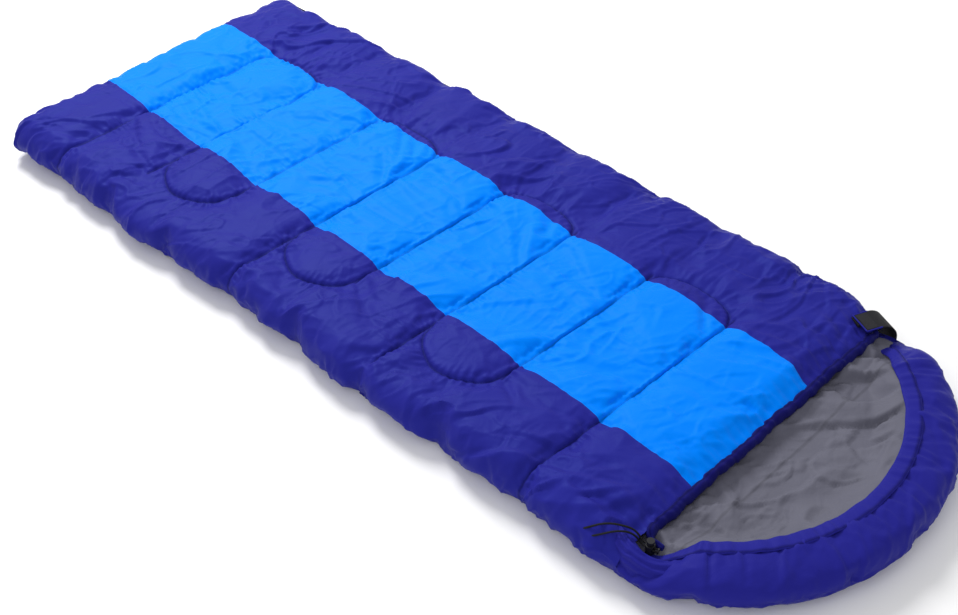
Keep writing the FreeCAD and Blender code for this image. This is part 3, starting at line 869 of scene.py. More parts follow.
def finish_quilt_attributes(obj, points):
    """Mark the seams, and shape the points: puckers and grooves along the seams, creases between them."""
    flat = uv_by_vertex(obj)
    u, v = flat.T
    gap, _, run = nearest_seam(flat)
    mark_seams(obj, gap, run)
    aside = u - PANEL_MIDDLE - PANEL_SKEW * (v - PANEL_MIDDLE_Y)
    edge_gap = np.abs(np.abs(aside) - PANEL_HALF)
    top = smooth(0.045, 0.062, points[:, 2])
    pucker = np.exp(-((gap / 0.022) ** 2)) * (1 - np.exp(-((gap / 0.004) ** 2)))
    phase = run * 2 * math.pi / PUCKER_SPACING + 16.0 * fractal(u * 14, v * 14, 11)
    lumpy = value_noise(u * 26.0, v * 26.0, 12) ** 1.5
    long_folds = crumple(u, v, 0.046, 101)
    short_folds = crumple(u, v, 0.021, 131)
    away = smooth(0.0, 0.030, gap)
    loose = 1.0 + 0.8 * smooth(-0.24, -0.34, u) + 0.5 * smooth(0.19, 0.25, u)
    points[:, 2] += top * (
        0.0030 * pucker * np.sin(phase) * lumpy
        + away * loose * (0.0048 * long_folds + 0.0022 * short_folds)
        - 0.0020 * np.exp(-((edge_gap / 0.003) ** 2))
        - 0.0030 * np.exp(-((gap / 0.0035) ** 2))
    )
    side = (1 - top) * smooth(-0.36, -0.395, points[:, 0])
    points[:, 0] -= side * (0.0080 * long_folds + 0.0040 * short_folds)


def make_under_shell():
    """Bottom, zip side and foot of the under quilt, tucked in below the folded side."""
    step = sizes().grid * 1.5
    tuck = FOLD_X + CORNER
    left = tuck - QUARTER * EDGE_REACH
    columns = np.linspace(left, SHELL_RIGHT, int((SHELL_RIGHT - left) / step))
    rows = np.linspace(NECK_Y - 0.010, SHELL_FOOT, int((SHELL_FOOT - NECK_Y) / step))
    a, b = np.meshgrid(columns, rows)
    shape = a.shape
    a, b = a.ravel(), b.ravel()
    opened = 0.08 + 0.92 * smooth(FOOT_Y - 0.110, FOOT_Y - CORNER, b)
    a = np.where(a < tuck, tuck + (a - tuck) * opened, a)
    x, y, rise = wrapped(a, b)
    side = 1.0 - rise
    row = off_row(b) * PITCH
    z = MID_Z * side - 0.0015 * np.exp(-((row / 0.012) ** 2)) * (1 - side)
    crease = ridged(a * 9.0, b * 14.0, 21)
    press = 1.0 - 0.010 * side * (1 - smooth(0.0, 0.030, row))
    x = np.where(side > 0.05, x * press, x) + side_shift(x, y) + side * 0.003 * (crease - 0.6)
    y = np.where((side > 0.05) & (b > 0.9), y * press, y)
    z = np.clip(z + 0.0018 * (1 - smooth(0.3, 0.9, side)) * (1 - crease), 0.0002, MID_Z - 0.0006)
    obj = sheet("under_quilt_shell", (x, y, z), shape, (a, b))
    flip_faces(obj)
    subdivide_smooth(obj)
    flat = uv_by_vertex(obj)
    mark_seams(obj, off_row(flat[:, 1]) * PITCH, flat[:, 0])
    dress(obj, "plain_shell")
    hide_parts("under_shell", "under_filling")
    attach(obj, "under_quilt")


def mark_seams(obj, gap=None, run=None):
    """Keep each point's distance to the nearest seam and the run along that seam."""
    count = len(obj.data.vertices)
    set_attribute(obj, "gap", np.ones(count) if gap is None else gap)
    set_attribute(obj, "run", np.zeros(count) if run is None else run)


def make_inner_lining(name, node, body, level, outward):
    """The lining inside one quilt: shallow puffs between the seams and small creases."""
    step = 0.012
    columns = np.arange(INNER_X, LINING_RIGHT, step)
    a, b = np.meshgrid(columns, np.arange(MOUTH_Y + 0.004, FOOT_Y - 0.004, step))
    shape = a.shape
    x, y = a.ravel(), b.ravel()
    gap, _, _ = nearest_seam(np.stack([x, y], axis=1))
    swell = smooth(0.0, 0.05, gap) * 0.0018 + 0.0022 * ridged(x * 16.0, y * 9.0, 31)
    edge = smooth(0.0, 0.03, np.minimum.reduce([x - INNER_X, LINING_RIGHT - x, y - MOUTH_Y, FOOT_Y - y]))
    z = level + outward * swell * edge
    obj = sheet(name, (x + side_shift(x, y), y, z), shape, (x, y))
    if outward < 0:
        flip_faces(obj)
    subdivide_smooth(obj)
    fine = uv_by_vertex(obj)
    gap, _, run = nearest_seam(fine)
    mark_seams(obj, gap, run)
    dress(obj, "lining")
    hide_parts(node)
    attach(obj, body)


def make_fold_lining():
    """The strip of lining that runs round the fold from one quilt's lining to the other's."""
    around, width = 9, 0.036
    turn = np.linspace(-math.pi / 2, math.pi / 2, around)
    rows = np.arange(MOUTH_Y + 0.004, FOOT_Y - 0.050, 0.010)
    x, y = np.meshgrid(INNER_X + 0.008 - 0.011 * np.cos(turn), rows)
    z = np.broadcast_to(MID_Z + 0.0019 * np.sin(turn), x.shape)
    x = x + 0.003 * (value_noise(y * 40.0, x * 90.0, 401) - 0.5)
    place = np.broadcast_to(np.linspace(0.0, width, around), x.shape)
    obj = sheet("fold_lining_cloth", (x, y, z), x.shape, (place, y))
    subdivide_smooth(obj)
    mark_seams(obj)
    dress(obj, "lining")
    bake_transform(obj)


# ---------------------------------------------------------------- hood


def arch_line(inset, spacing, tail=0.0):
    """Places round the hood's outline from the folded side to the zip side, outward directions and run."""
    side_centre = HOOD_HALF - HOOD_SIDE_RADIUS
    crown = (side_centre**2 + HOOD_DEPTH**2 - HOOD_SIDE_RADIUS**2) / (2 * (HOOD_DEPTH - HOOD_SIDE_RADIUS))
    crown_y = crown - HOOD_DEPTH
    lean = math.atan2(side_centre, crown_y)
    quarter = math.pi / 2
    arcs = (
        (-side_centre, 0.0, HOOD_SIDE_RADIUS - inset, np.linspace(-quarter, -lean, 60, endpoint=False)),
        (0.0, crown_y, crown - inset, np.linspace(-lean, lean, 120, endpoint=False)),
        (side_centre, 0.0, HOOD_SIDE_RADIUS - inset, np.linspace(lean, quarter, 60)),
    )
    points = []
    for x, y, reach, bearings in arcs:
        for turn in bearings:
            out_x, out_y = math.sin(turn), -math.cos(turn)
            points.append((x + reach * out_x, y + reach * out_y, out_x, out_y))
    if tail:
        ahead = np.linspace(0, tail, 12)[1:]
        side = HOOD_HALF - inset
        points = [(-side, t, -1.0, 0.0) for t in ahead[::-1]] + points + [(side, t, 1.0, 0.0) for t in ahead]
    line = np.array(points)
    run = run_along(line[:, :2])
    steps = np.linspace(0, run[-1], int(run[-1] / spacing))
    line = np.stack([np.interp(steps, run, line[:, k]) for k in range(4)], axis=1)
    line[:, 0] += HOOD_MIDDLE
    line[:, 1] += NECK_Y - 0.0003
    normal = line[:, 2:] / np.linalg.norm(line[:, 2:], axis=1)[:, None]
    return line[:, :2], normal, steps


def roll_scale(y):
    """How the roll shrinks towards its two ends."""
    return 0.52 + 0.48 * smooth(-0.752, -0.850, y)


def make_hood_roll():
    centre, normal, run = arch_line(ROLL_RADIUS, 0.0085, tail=0.052)
    around = 34
    angles = np.linspace(0, 2 * math.pi, around, endpoint=False)
    count = len(centre)
    scale = roll_scale(centre[:, 1])[:, None]
    out = np.cos(angles)[None] * ROLL_RADIUS * scale + (1 - scale) * ROLL_DRAW_OUT
    up = np.sin(angles)[None] * ROLL_RADIUS * scale
    x = centre[:, :1] + normal[:, :1] * out
    y = centre[:, 1:] + normal[:, 1:] * out
    z = np.maximum(ROLL_Z - (1 - scale) * ROLL_SINK + up, GROUND_GAP)
    points = np.stack([x, y, z], axis=-1).reshape(-1, 3)
    uv = grid_pairs(run, angles * ROLL_RADIUS)
    obj = new_object("hood_roll_cloth", points, grid_faces(count, around, close_columns=True), uv)
    flip_faces(obj)
    degrees = np.degrees(angles)
    sewn = (np.abs(degrees - 112) < 6) | (np.abs(degrees - 268) < 28)
    held = np.broadcast_to(sewn[None], (count, around)).copy()
    held[:2] = held[-2:] = True
    fill_with_air(obj, held.ravel(), pressure=2.0, growth=0.07, frames=24, cap=0.010, bending=0.05)
    points = coordinates(obj.data)
    points[:, 2] = np.clip(points[:, 2], 0.0003, ROLL_TOP)
    set_coordinates(obj.data, points)
    cap_ends(obj, count, around)
    subdivide_smooth(obj)
    roll_creases(obj)
    mark_seams(obj)
    dress(obj, "plain_shell")
    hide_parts("hood_roll_shell", "hood_roll_filling")
    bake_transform(obj)


def roll_creases(obj):
    """Small creases all over the roll, pushed out along its own normals."""
    flat = uv_by_vertex(obj)
    points = coordinates(obj.data)
    normals = np.empty(len(points) * 3)
    obj.data.vertices.foreach_get("normal", normals)
    normals = normals.reshape(-1, 3)
    run, turn = flat[:, 0], flat[:, 1]
    round_it = (0.25, -0.3, 0.9)
    height = 0.0050 * crumple(run, turn, 0.040, 151, round_it)
    height = height + 0.0020 * crumple(run, turn, 0.018, 171, round_it)
    seam_gap = np.abs(turn - ROLL_SEAM)
    places = np.random.default_rng(181)
    where = np.arange(0.03, run.max(), 0.052)
    for place in where + places.uniform(-0.018, 0.018, len(where)):
        reach, deep = places.uniform(0.025, 0.060), places.uniform(0.002, 0.0048)
        offset = (run - place - (turn - ROLL_SEAM) * places.uniform(-0.35, 0.35)) / 0.0055
        height = height - deep * offset * np.exp(-(offset**2)) * np.exp(-((seam_gap / reach) ** 2))
    height *= smooth(0.006, 0.030, points[:, 2])
    set_coordinates(obj.data, points + normals * height[:, None])


def cap_ends(obj, rings, around):
    """Close both ends of a tube with a drawn-in disc."""
    b = bmesh.new()
    b.from_mesh(obj.data)
    b.verts.ensure_lookup_table()
    loops = [[b.verts[first + i] for i in range(around)] for first in (0, (rings - 1) * around)]
    for first, ring in enumerate(loops):
        face = b.faces.new(ring if first else ring[::-1])
        bmesh.ops.poke(b, faces=[face])
    bmesh.ops.recalc_face_normals(b, faces=b.faces)
    b.to_mesh(obj.data)
    b.free()
    for polygon in obj.data.polygons:
        polygon.use_smooth = True


def neck_gap(x):
    """Distance to the nearer side edge of the neck's lining."""
    return np.minimum(x - NECK_LEFT, NECK_RIGHT - x)


def distance_inside(x, y, inset):
    """How far a place is inside the hood's outline moved in by inset.  Negative is outside."""
    line, normal, _ = arch_line(inset, 0.004)
    flat = np.stack([x, y], axis=1)
    gap = ((flat[:, None] - line[None]) ** 2).sum(axis=2)
    which = gap.argmin(axis=1)
    offset = flat - line[which]
    return -(offset * normal[which]).sum(axis=1)


def make_hood_lining():
    """Grey lining of the hood and the neck, wrinkled, running in under the top quilt."""
    step = 0.0075
    a, b = np.meshgrid(np.arange(-0.400, 0.372, step), np.arange(-1.010, -0.600, step))
    x, y = a.ravel(), b.ravel()
    inside = distance_inside(x, y, RIM_INSET)
    neck = y > NECK_Y
    keep = np.where(neck, neck_gap(x) > 0, inside > -0.012)
    edge = np.where(neck, neck_gap(x), inside)
    climb = (1 - smooth(0.028, 0.105, edge)) * smooth(-0.760, -0.850, y)
    level = 0.0470 - 0.0055 * smooth(-0.742, -0.700, y)
    z = level + 0.024 * climb
    obj = sheet("hood_lining_cloth", (x, y, z), a.shape, (x, y), keep)
    drop_loose(obj)
    points = coordinates(obj.data)
    x, y = points[:, 0], points[:, 1]
    rim = distance_inside(x, y, RIM_INSET) < 0.002
    held = np.where(y > NECK_Y, neck_gap(x) < 0.009, rim) | (y < -1.0) | (y > -0.612)
    fill_with_air(obj, held, pressure=0.15, growth=0.08, frames=26, cap=0.010, bending=0.03)
    points = coordinates(obj.data)
    under = smooth(-0.742, -0.700, y)
    points[:, 2] = points[:, 2] * (1 - under) + np.clip(points[:, 2], LINING_LOW, 0.0435) * under
    points[:, 2] = np.maximum(points[:, 2], LINING_LOW)
    set_coordinates(obj.data, points)
    subdivide_smooth(obj)
    fine = coordinates(obj.data)
    x, y = fine[:, 0], fine[:, 1]
    edge = np.where(y > NECK_Y, neck_gap(x) + 0.030, distance_inside(x, y, RIM_INSET))
    tallest = 0.013
    folds = 0.0180 * crumple(x, y, 0.050, 201, (2.2, 1.7, 2.8)) + 0.0085 * crumple(x, y, 0.022, 221)
    folds = np.where(folds > 0, tallest * np.tanh(folds / tallest), folds)
    folds *= (1 - smooth(-0.742, -0.715, y)) * smooth(0.024, 0.060, edge)
    from_lock = np.hypot(x - LOCK_PLACE[0], y - LOCK_PLACE[1])
    under_lock = LOCK_FLOOR + 0.8 * np.maximum(from_lock - 0.020, 0.0)
    fine[:, 2] = np.clip(fine[:, 2] + folds, LINING_LOW, under_lock)
    set_coordinates(obj.data, fine)
    mark_seams(obj, np.abs(y - NECK_SEAM_Y), x)
    dress(obj, "lining")
    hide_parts("hood_lining", "hood_filling")
    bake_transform(obj)


def make_hood_base():
    """The hood's underside, one shallow pillow of shell cloth."""
    step = 0.014
    a, b = np.meshgrid(np.arange(-0.400, 0.372, step), np.arange(-1.040, NECK_Y + 0.016, step))
    x, y = a.ravel(), b.ravel()
    inside = distance_inside(x, y, 0.036)
    keep = inside > -0.010
    crease = ridged(x * 10.0, y * 12.0, 61)
    z = 0.0004 + 0.0015 * crease + 0.004 * (1 - smooth(0.0, 0.03, inside))
    obj = sheet("hood_base_cloth", (x, y, z), a.shape, (x, y), keep)
    drop_loose(obj)
    flip_faces(obj)
    subdivide_smooth(obj)
    mark_seams(obj)
    dress(obj, "plain_shell")
    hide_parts("hood_under_shell")
    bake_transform(obj)


def make_neck_gather():
    """The bunched shell cloth at the drawcord's end of the neck, between the quilts and the roll."""
    key = [
        (-0.3600, -0.6950, 0.0380),
        (-0.3730, -0.7200, 0.0400),
        (-0.3800, -0.7450, 0.0385),
        (-0.3790, -0.7700, 0.0370),
        (-0.3700, -0.7950, 0.0370),
        (-0.3560, -0.8150, 0.0380),
    ]
    line = curve_points(key, 0.0028)
    around, width, lowest, highest = 56, 0.165, 0.0006, 0.079
    shape = np.broadcast_to(oval(0.0185, 0.0330, around, 0.9), (len(line), around, 2)).copy()
    turn, run = np.meshgrid(np.linspace(0, width, around, endpoint=False), run_along(line))
    bunch = crumple(run, turn, 0.020, 301, (1.2, 1.9, 0.4), 3.0)
    pleats = np.sin(turn * 420.0 + 9.0 * fractal(run * 26.0, turn * 18.0, 302))
    shape *= (1.0 + 0.16 * bunch + 0.07 * pleats)[:, :, None]
    obj = swept_cloth("neck_gather_cloth", line, line_axes(line), shape, width)
    points = coordinates(obj.data)
    points[:, 2] = np.clip(points[:, 2], lowest, highest)
    set_coordinates(obj.data, points)
    subdivide_smooth(obj)
    mark_seams(obj)
    dress(obj, "plain_shell")
    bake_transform(obj)


def swept_cloth(name, line, axes, outline, uv_width):
    """A closed outline carried along a line.  axes gives two directions at each place."""
    across, upward = axes
    count, around = len(line), outline.shape[-2]
    points = line[:, None] + across[:, None] * outline[..., :1] + upward[:, None] * outline[..., 1:]
    uv = grid_pairs(run_along(line), np.linspace(0, uv_width, around, endpoint=False))
    obj = new_object(name, points.reshape(-1, 3), grid_faces(count, around, close_columns=True), uv)
    cap_ends(obj, count, around)
    return obj


def oval(width, depth, around, power=1.0):
    angles = np.linspace(0, 2 * math.pi, around, endpoint=False)
    sides = np.stack([np.cos(angles), np.sin(angles)], axis=1)
    return np.sign(sides) * np.abs(sides) ** power * (width, depth)


def make_hood_casing():
    """The drawcord casing round the hood's inner rim, slightly gathered, with its stitch line."""
    place, dip = math.radians(64), math.radians(9)
    stand = ROLL_RADIUS + 0.0010
    half, thick, around = 0.015, 0.0034, 20
    centre, normal, run = arch_line(ROLL_RADIUS, 0.004, tail=0.016)
    scale = roll_scale(centre[:, 1])
    inward = (stand * math.cos(place) + half * 0.9) * scale - (1 - scale) * ROLL_DRAW_OUT
    rise = (stand * math.sin(place) - half * 0.9 * math.sin(dip)) * scale - (1 - scale) * ROLL_SINK
    wave = 0.0012 * np.sin(run * 120.0 + 8.0 * fractal(run * 12.0, 0 * run, 71))
    line = np.column_stack([centre - normal * inward[:, None], ROLL_Z + rise + wave])
    level = np.ones(len(run))
    across = np.column_stack([-normal * math.cos(dip), -level * math.sin(dip)])
    upward = np.column_stack([-normal * math.sin(dip), level * math.cos(dip)])
    shape = np.broadcast_to(oval(half, thick, around, 0.8), (len(run), around, 2)).copy()
    shape *= (0.62 + 0.38 * scale)[:, None, None]
    pleat = smooth(0.35, 0.9, value_noise(run * 16.0, 0 * run, 73)) * np.sin(run * 330.0)
    ripple = 1.0 + 0.18 * np.sin(run * 210.0 + 9.0 * fractal(run * 22.0, 0 * run, 72)) + 0.35 * pleat
    shape[:, :, 1] *= ripple[:, None]
    shape[:, :, 0] *= (1.0 + 0.10 * (value_noise(run * 30.0, 0 * run, 74) - 0.5))[:, None]
    obj = swept_cloth("hood_casing_cloth", line, (across, upward), shape, 0.055)
    subdivide_smooth(obj)
    uv = uv_by_vertex(obj)
    mark_seams(obj, np.abs(uv[:, 1] - HOOD_CASING_STITCH), uv[:, 0])
    dress(obj, "plain_shell")
    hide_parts("hood_casing", "hood_cord")
    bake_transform(obj)


def make_mouth_casing():
    """The gathered casing along the top quilt's mouth, turned headwards at the lock."""
    key = [
        (0.338, -0.7340, 0.056),
        (0.300, -0.7355, 0.059),
        (0.150, -0.7350, 0.061),
        (0.000, -0.7345, 0.061),
        (-0.150, -0.7350, 0.061),
        (-0.290, -0.7355, 0.061),
        (-0.322, -0.7380, 0.061),
        (-0.3345, -0.7480, 0.061),
        (-0.3355, -0.7600, 0.060),
        (-0.3360, -0.7730, 0.060),
    ]
    line = curve_points(key, 0.0035)
    axes, run, around = line_axes(line), run_along(line), 22
    narrow = 1.0 - 0.52 * smooth(-0.738, -0.750, line[:, 1])
    shape = np.broadcast_to(oval(0.0088, 0.0125, around, 0.9), (len(line), around, 2)).copy()
    crowd = fractal(run * 14.0, 0 * run, 81)
    squeeze, lift = 0 * run, 0 * run
    places = np.random.default_rng(83)
    for place in np.arange(0.015, run[-1], 0.030):
        gap = (run - place - places.uniform(-0.011, 0.011)) / places.uniform(0.0035, 0.0075)
        squeeze = squeeze + places.uniform(0.08, 0.30) * np.exp(-(gap**2))
        lift = lift + places.uniform(-0.0022, 0.0022) * np.exp(-((gap / 2.0) ** 2))
    shape *= (narrow * (1.06 - np.minimum(squeeze, 0.35)))[:, None, None]
    angles = np.linspace(0, 2 * math.pi, around, endpoint=False)
    pleats = np.sin(run[:, None] * 190.0 + 2.0 * angles[None] + 26.0 * crowd[:, None])
    shape *= (1.0 + 0.09 * pleats)[:, :, None]
    line[:, 1] += narrow * 0.0014 * np.sin(run * 34.0 + 5.0 * crowd)
    line[:, 2] += lift
    obj = swept_cloth("mouth_casing_cloth", line, axes, shape, 0.065)
    subdivide_smooth(obj)
    uv = uv_by_vertex(obj)
    gaps = [np.abs(uv[:, 1] - place) for place in MOUTH_CASING_STITCHES]
    mark_seams(obj, np.minimum(*gaps), uv[:, 0])
    dress(obj, "casing")
    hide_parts("mouth_casing", "casing_end", "mouth_cord")
    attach(obj, "top_quilt")


# ---------------------------------------------------------------- drawcord, lock and tab


def make_cord(name, node, route):
    curve = bpy.data.curves.new(name, "CURVE")
    curve.dimensions = "3D"
    curve.bevel_depth = CORD_RADIUS
    curve.bevel_resolution = 4
    curve.use_fill_caps = True
    spline = curve.splines.new("NURBS")
    spline.points.add(len(route) - 1)
    for point, place in zip(spline.points, route):
        point.co = (*place, 1.0)
    spline.order_u = 3
    spline.use_endpoint_u = True
    spline.resolution_u = 12
    obj = bpy.data.objects.new(name, curve)
    bpy.context.collection.objects.link(obj)
    curve.materials.append(finish_of("cord"))
    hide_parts(node)
    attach(obj, "top_quilt")
    return obj


def make_knot():
    """An overhand knot: one fat strand wound over itself."""
    turns = np.linspace(0, 2 * math.pi, 90)
    x = 0.0021 * (np.sin(turns) + 1.7 * np.sin(2 * turns)) * 0.55
    z = 0.0021 * (np.cos(turns) - 1.7 * np.cos(2 * turns)) * 0.55
    y = -0.0030 * np.sin(3 * turns)
    line = np.stack([x, y, z], axis=1) + np.array(KNOT_PLACE)
    axes = line_axes(line, (0.3, 0.5, 1.0))
    obj = swept_cloth("drawcord_end_knot", line, axes, oval(0.0019, 0.0019, 10), 0.01)
    dress(obj, "cord")
    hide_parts("drawcord_knot")
    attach(obj, "top_quilt")
    return obj


def strap_frame(local):
    """From the closing strap's own frame to the bag's."""
    turn = math.radians(TAB_TURN)
    c, s = math.cos(turn), math.sin(turn)
    x = local[:, 0] * c - local[:, 1] * s + TAB_PLACE[0]
    y = local[:, 0] * s + local[:, 1] * c + TAB_PLACE[1]
    return np.stack([x, y, local[:, 2]], axis=1)


def strap_profile(start, end, extra=0.0):
    """The strap's side view: an arc round the bag's edge, then a flat run inboard."""
    radius, spacing = STRAP_RADIUS + extra, 0.002
    angles = np.radians(np.arange(start, end, math.degrees(spacing / radius)))
    arc = np.stack([radius * np.cos(angles), MID_Z + radius * np.sin(angles)], axis=1)
    run = np.arange(0, STRAP_FLAT, spacing)
    level = np.stack([-run, np.full(len(run), MID_Z + radius)], axis=1)
    return np.vstack([arc, level])


def ribbon(name, profile, low, high, depth, finish, sag=0.0):
    """A woven strip that follows a side view, between two places across the strap."""
    columns = 14
    across = np.linspace(low, high, columns)
    bow = sag * (1 - ((across - (low + high) / 2) / ((high - low) / 2)) ** 2)
    local = np.stack(np.broadcast_arrays(profile[:, :1], across[None], profile[:, 1:] + bow[None]), axis=-1)
    faces = grid_faces(len(profile), columns)
    obj = new_object(name, strap_frame(local.reshape(-1, 3)), faces, grid_pairs(run_along(profile), across))
    thicken(obj, depth, 1.0)
    mark_seams(obj)
    dress(obj, finish)
    return obj


def make_tab():
    side_view = strap_profile(-50, 90)
    strap = ribbon("closing_strap", side_view, -0.025, 0.025, 0.0013, "webbing")
    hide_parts("tab_root", "tab_strap")
    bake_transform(strap)
    top = strap_profile(90, 90.1, extra=0.0014)[-15:]
    label = ribbon("blank_label", top[1:-1], -0.0225, 0.0225, 0.0006, "label", sag=0.0004)
    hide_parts("tab_label")
    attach(label, "closing_tab")
    half = [(0.004, 0.0243), (-0.0285, 0.0243), (-0.0293, 0.0235)]
    path = [(x, -y) for x, y in half] + half[::-1]
    dense = []
    for (ax, ay), (bx, by) in zip(path, path[1:]):
        for t in np.linspace(0, 1, 14, endpoint=False):
            dense.append((ax + (bx - ax) * t, ay + (by - ay) * t, MID_Z + STRAP_RADIUS + 0.0013))
    line = strap_frame(np.array(dense))
    obj = swept_cloth("strap_piping", line, line_axes(line), oval(0.0015, 0.0014, 10), 0.01)
    mark_seams(obj)
    dress(obj, "plain_shell")
    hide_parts("tab_piping")
    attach(obj, "closing_tab")


# ---------------------------------------------------------------- zip


def zip_line(reach, head, end, spacing):
    """Places along the zip at a distance outside the quilts' side: long side, corner, foot."""
    outside = ZIP_X + reach
    points = [(outside, head)]
    if head < MOUTH_Y + TAPER_LENGTH:
        points = [(outside - TAPER_WIDTH, head), (outside, MOUTH_Y + TAPER_LENGTH)]
    points.append((outside, FOOT_Y - CORNER))
    for angle in np.linspace(0, math.pi / 2, ZIP_CORNER_STEPS):
        r = CORNER + reach
        points.append((ZIP_X - CORNER + r * math.cos(angle), FOOT_Y - CORNER + r * math.sin(angle)))
    points.append((end, FOOT_Y + reach))
    line = np.array(points)
    run = run_along(line)
    steps = np.arange(0, run[-1], spacing)
    place = np.stack([np.interp(steps, run, line[:, k]) for k in range(2)], axis=1)
    tangent = np.gradient(place, axis=0)
    tangent /= np.linalg.norm(tangent, axis=1)[:, None]
    return place, tangent, steps


def make_zip_tape(quilt, body, low, high):
    place, _, run = zip_line(0.0007, MOUTH_Y, -0.348, 0.006)
    levels = np.linspace(low, high, 6)
    x, y, z, far = np.broadcast_arrays(place[:, :1], place[:, 1:], levels[None], run[:, None])
    obj = sheet(quilt + "_zip_cloth_tape", (x, y, z), x.shape, (far, z))
    thicken(obj, 0.0008, 0.0)
    mark_seams(obj)
    dress(obj, "webbing")
    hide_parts(quilt + "_zip_tape")
    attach(obj, body)


def make_zip_teeth(quilt, body, level, direction):
    """One coil tooth, repeated along the chain."""
    place, tangent, _ = zip_line(0.0026, -0.645, -0.340, sizes().coil_pitch)
    vertices, faces = [], []
    arc = np.linspace(-0.35 * math.pi, 1.35 * math.pi, 7)
    wire = np.stack([0.0013 * np.cos(arc), level - direction * (0.0003 + 0.0012 * np.sin(arc))], axis=1)
    thin, tube = 0.00038, grid_faces(7, 4, close_columns=True)
    for (px, py), (tx, ty) in zip(place, tangent):
        base = len(vertices)
        outward = (ty, -tx)
        for i, (o, z) in enumerate(wire):
            slip = (i / 6 - 0.5) * sizes().coil_pitch * 0.45
            for dx, dz in ((thin, 0), (0, thin), (-thin, 0), (0, -thin)):
                r, t = o + dx * math.copysign(1.0, o), slip + dz
                vertices.append((px + outward[0] * r + tx * t, py + outward[1] * r + ty * t, z + dz))
        faces += [tuple(base + corner for corner in face) for face in tube]
    obj = new_object(quilt + "_zip_teeth", vertices, faces)
    dress(obj, "coil")
    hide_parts(quilt + "_zip_coil")
    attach(obj, body)


def finish_cad_nodes():
    """Give the machined pieces that stay from the frame rounded edges and their finishes."""
    wanted = {
        "metal": [
            *("under_head_stop", "top_head_stop", "foot_stop", "cord_eyelet", "lock_spring"),
            *(slider + part for slider in ("head_slider", "foot_slider") for part in ("", "_ring", "_pull")),
        ],
        "plastic": ["lock_barrel", "lock_button"],
        "hooks": ["loop_patch", "tab_hooks"],
    }
    for finish, names in wanted.items():
        for name in names:
            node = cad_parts[name]
            node.data.materials.clear()
            node.data.materials.append(finish_of(finish))
            if finish != "hooks":
                edge = node.modifiers.new("Rounded edges", "BEVEL")
                edge.width = 0.0002
                edge.segments = 2
                edge.limit_method = "ANGLE"
                edge.angle_limit = math.radians(40)


# ---------------------------------------------------------------- operators


class MakesAPiece:
    """What every operator here shares."""

    bl_options = {"REGISTER", "UNDO"}


class SLEEPINGBAG_OT_stage(MakesAPiece, bpy.types.Operator):
    """Floor, lights and camera"""

    bl_idname = "sleeping_bag.stage"
    bl_label = "Stage"

    def execute(self, context):
        far = FLOOR_HALF
        corners = [(x, y, -GROUND_GAP) for x, y in ((-far, -far), (far, -far), (far, far), (-far, far))]
        floor = new_object("floor", corners, [(0, 1, 2, 3)])
        paper = Finish("studio floor")
        tone = paper.noise(paper.object_place(), 0.6, 2.0)
        paper.link("Base Color", paper.mix(tone, shade(tuple(colours().floor), 0.99), tuple(colours().floor)))
        paper.link("Roughness", 0.85)
        floor.data.materials.append(paper.material)

        world = bpy.data.worlds.new("soft light")
        context.scene.world = world
        world.use_nodes = True
        back = world.node_tree.nodes["Background"]
        back.inputs["Color"].default_value = (1.0, 1.0, 1.0, 1.0)
        back.inputs["Strength"].default_value = SKY_STRENGTH
        for name, place, size, power in LIGHTS:
            lamp = bpy.data.lights.new(name, "AREA")
            lamp.shape = "DISK"
            lamp.size = size
            lamp.energy = power
            holder = bpy.data.objects.new(name, lamp)
            context.collection.objects.link(holder)
            holder.location = place
            holder.rotation_euler = (-Vector(place)).to_track_quat("-Z", "Y").to_euler()
        context.scene.view_settings.view_transform = "Standard"

        turn, rise, roll = (math.radians(angle) for angle in CAMERA_ANGLES)
        level = Vector((math.sin(turn), -math.cos(turn), 0.0))
        back_axis = level * math.cos(rise) + Vector((0.0, 0.0, math.sin(rise)))
        right = Vector((math.cos(turn), math.sin(turn), 0.0))
        up = back_axis.cross(right)
        right, up = (
            right * math.cos(roll) + up * math.sin(roll),
            up * math.cos(roll) - right * math.sin(roll),
        )
        camera = bpy.data.cameras.new("camera")
        camera.sensor_fit = "HORIZONTAL"
        camera.sensor_width = 36.0
        camera.lens = CAMERA_LENS
        camera.clip_end = 100.0
        holder = bpy.data.objects.new("camera", camera)
        context.collection.objects.link(holder)
        eye = Vector(CAMERA_TARGET) + back_axis * CAMERA_DISTANCE
        axes = Matrix((right, up, back_axis)).transposed()
        holder.matrix_world = Matrix.Translation(eye) @ axes.to_4x4()
        context.scene.camera = holder
        return {"FINISHED"}


class SLEEPINGBAG_OT_top_shell(MakesAPiece, bpy.types.Operator):
    """Quilted outer shell of the top quilt, over the folded side"""

    bl_idname = "sleeping_bag.top_shell"
    bl_label = "Top quilt shell"

    def execute(self, context):
        make_top_shell()
        return {"FINISHED"}


class SLEEPINGBAG_OT_under_shell(MakesAPiece, bpy.types.Operator):
    """Bottom, zip side and foot of the under quilt"""

    bl_idname = "sleeping_bag.under_shell"
    bl_label = "Under quilt shell"

    def execute(self, context):
        make_under_shell()
        return {"FINISHED"}


class SLEEPINGBAG_OT_linings(MakesAPiece, bpy.types.Operator):
    """Linings inside both quilts"""

    bl_idname = "sleeping_bag.linings"
    bl_label = "Inner linings"

    def execute(self, context):
        make_inner_lining("under_quilt_lining", "under_lining", "under_quilt", 0.0402, 1.0)
        make_inner_lining("top_quilt_lining", "top_lining", "top_quilt", 0.0485, -1.0)
        make_fold_lining()
        return {"FINISHED"}


class SLEEPINGBAG_OT_hood(MakesAPiece, bpy.types.Operator):
    """Padded roll, drawcord casing, lining and underside of the hood"""

    bl_idname = "sleeping_bag.hood"
    bl_label = "Hood"

    def execute(self, context):
        make_hood_roll()
        make_hood_casing()
        make_hood_lining()
        make_neck_gather()
        make_hood_base()
        return {"FINISHED"}


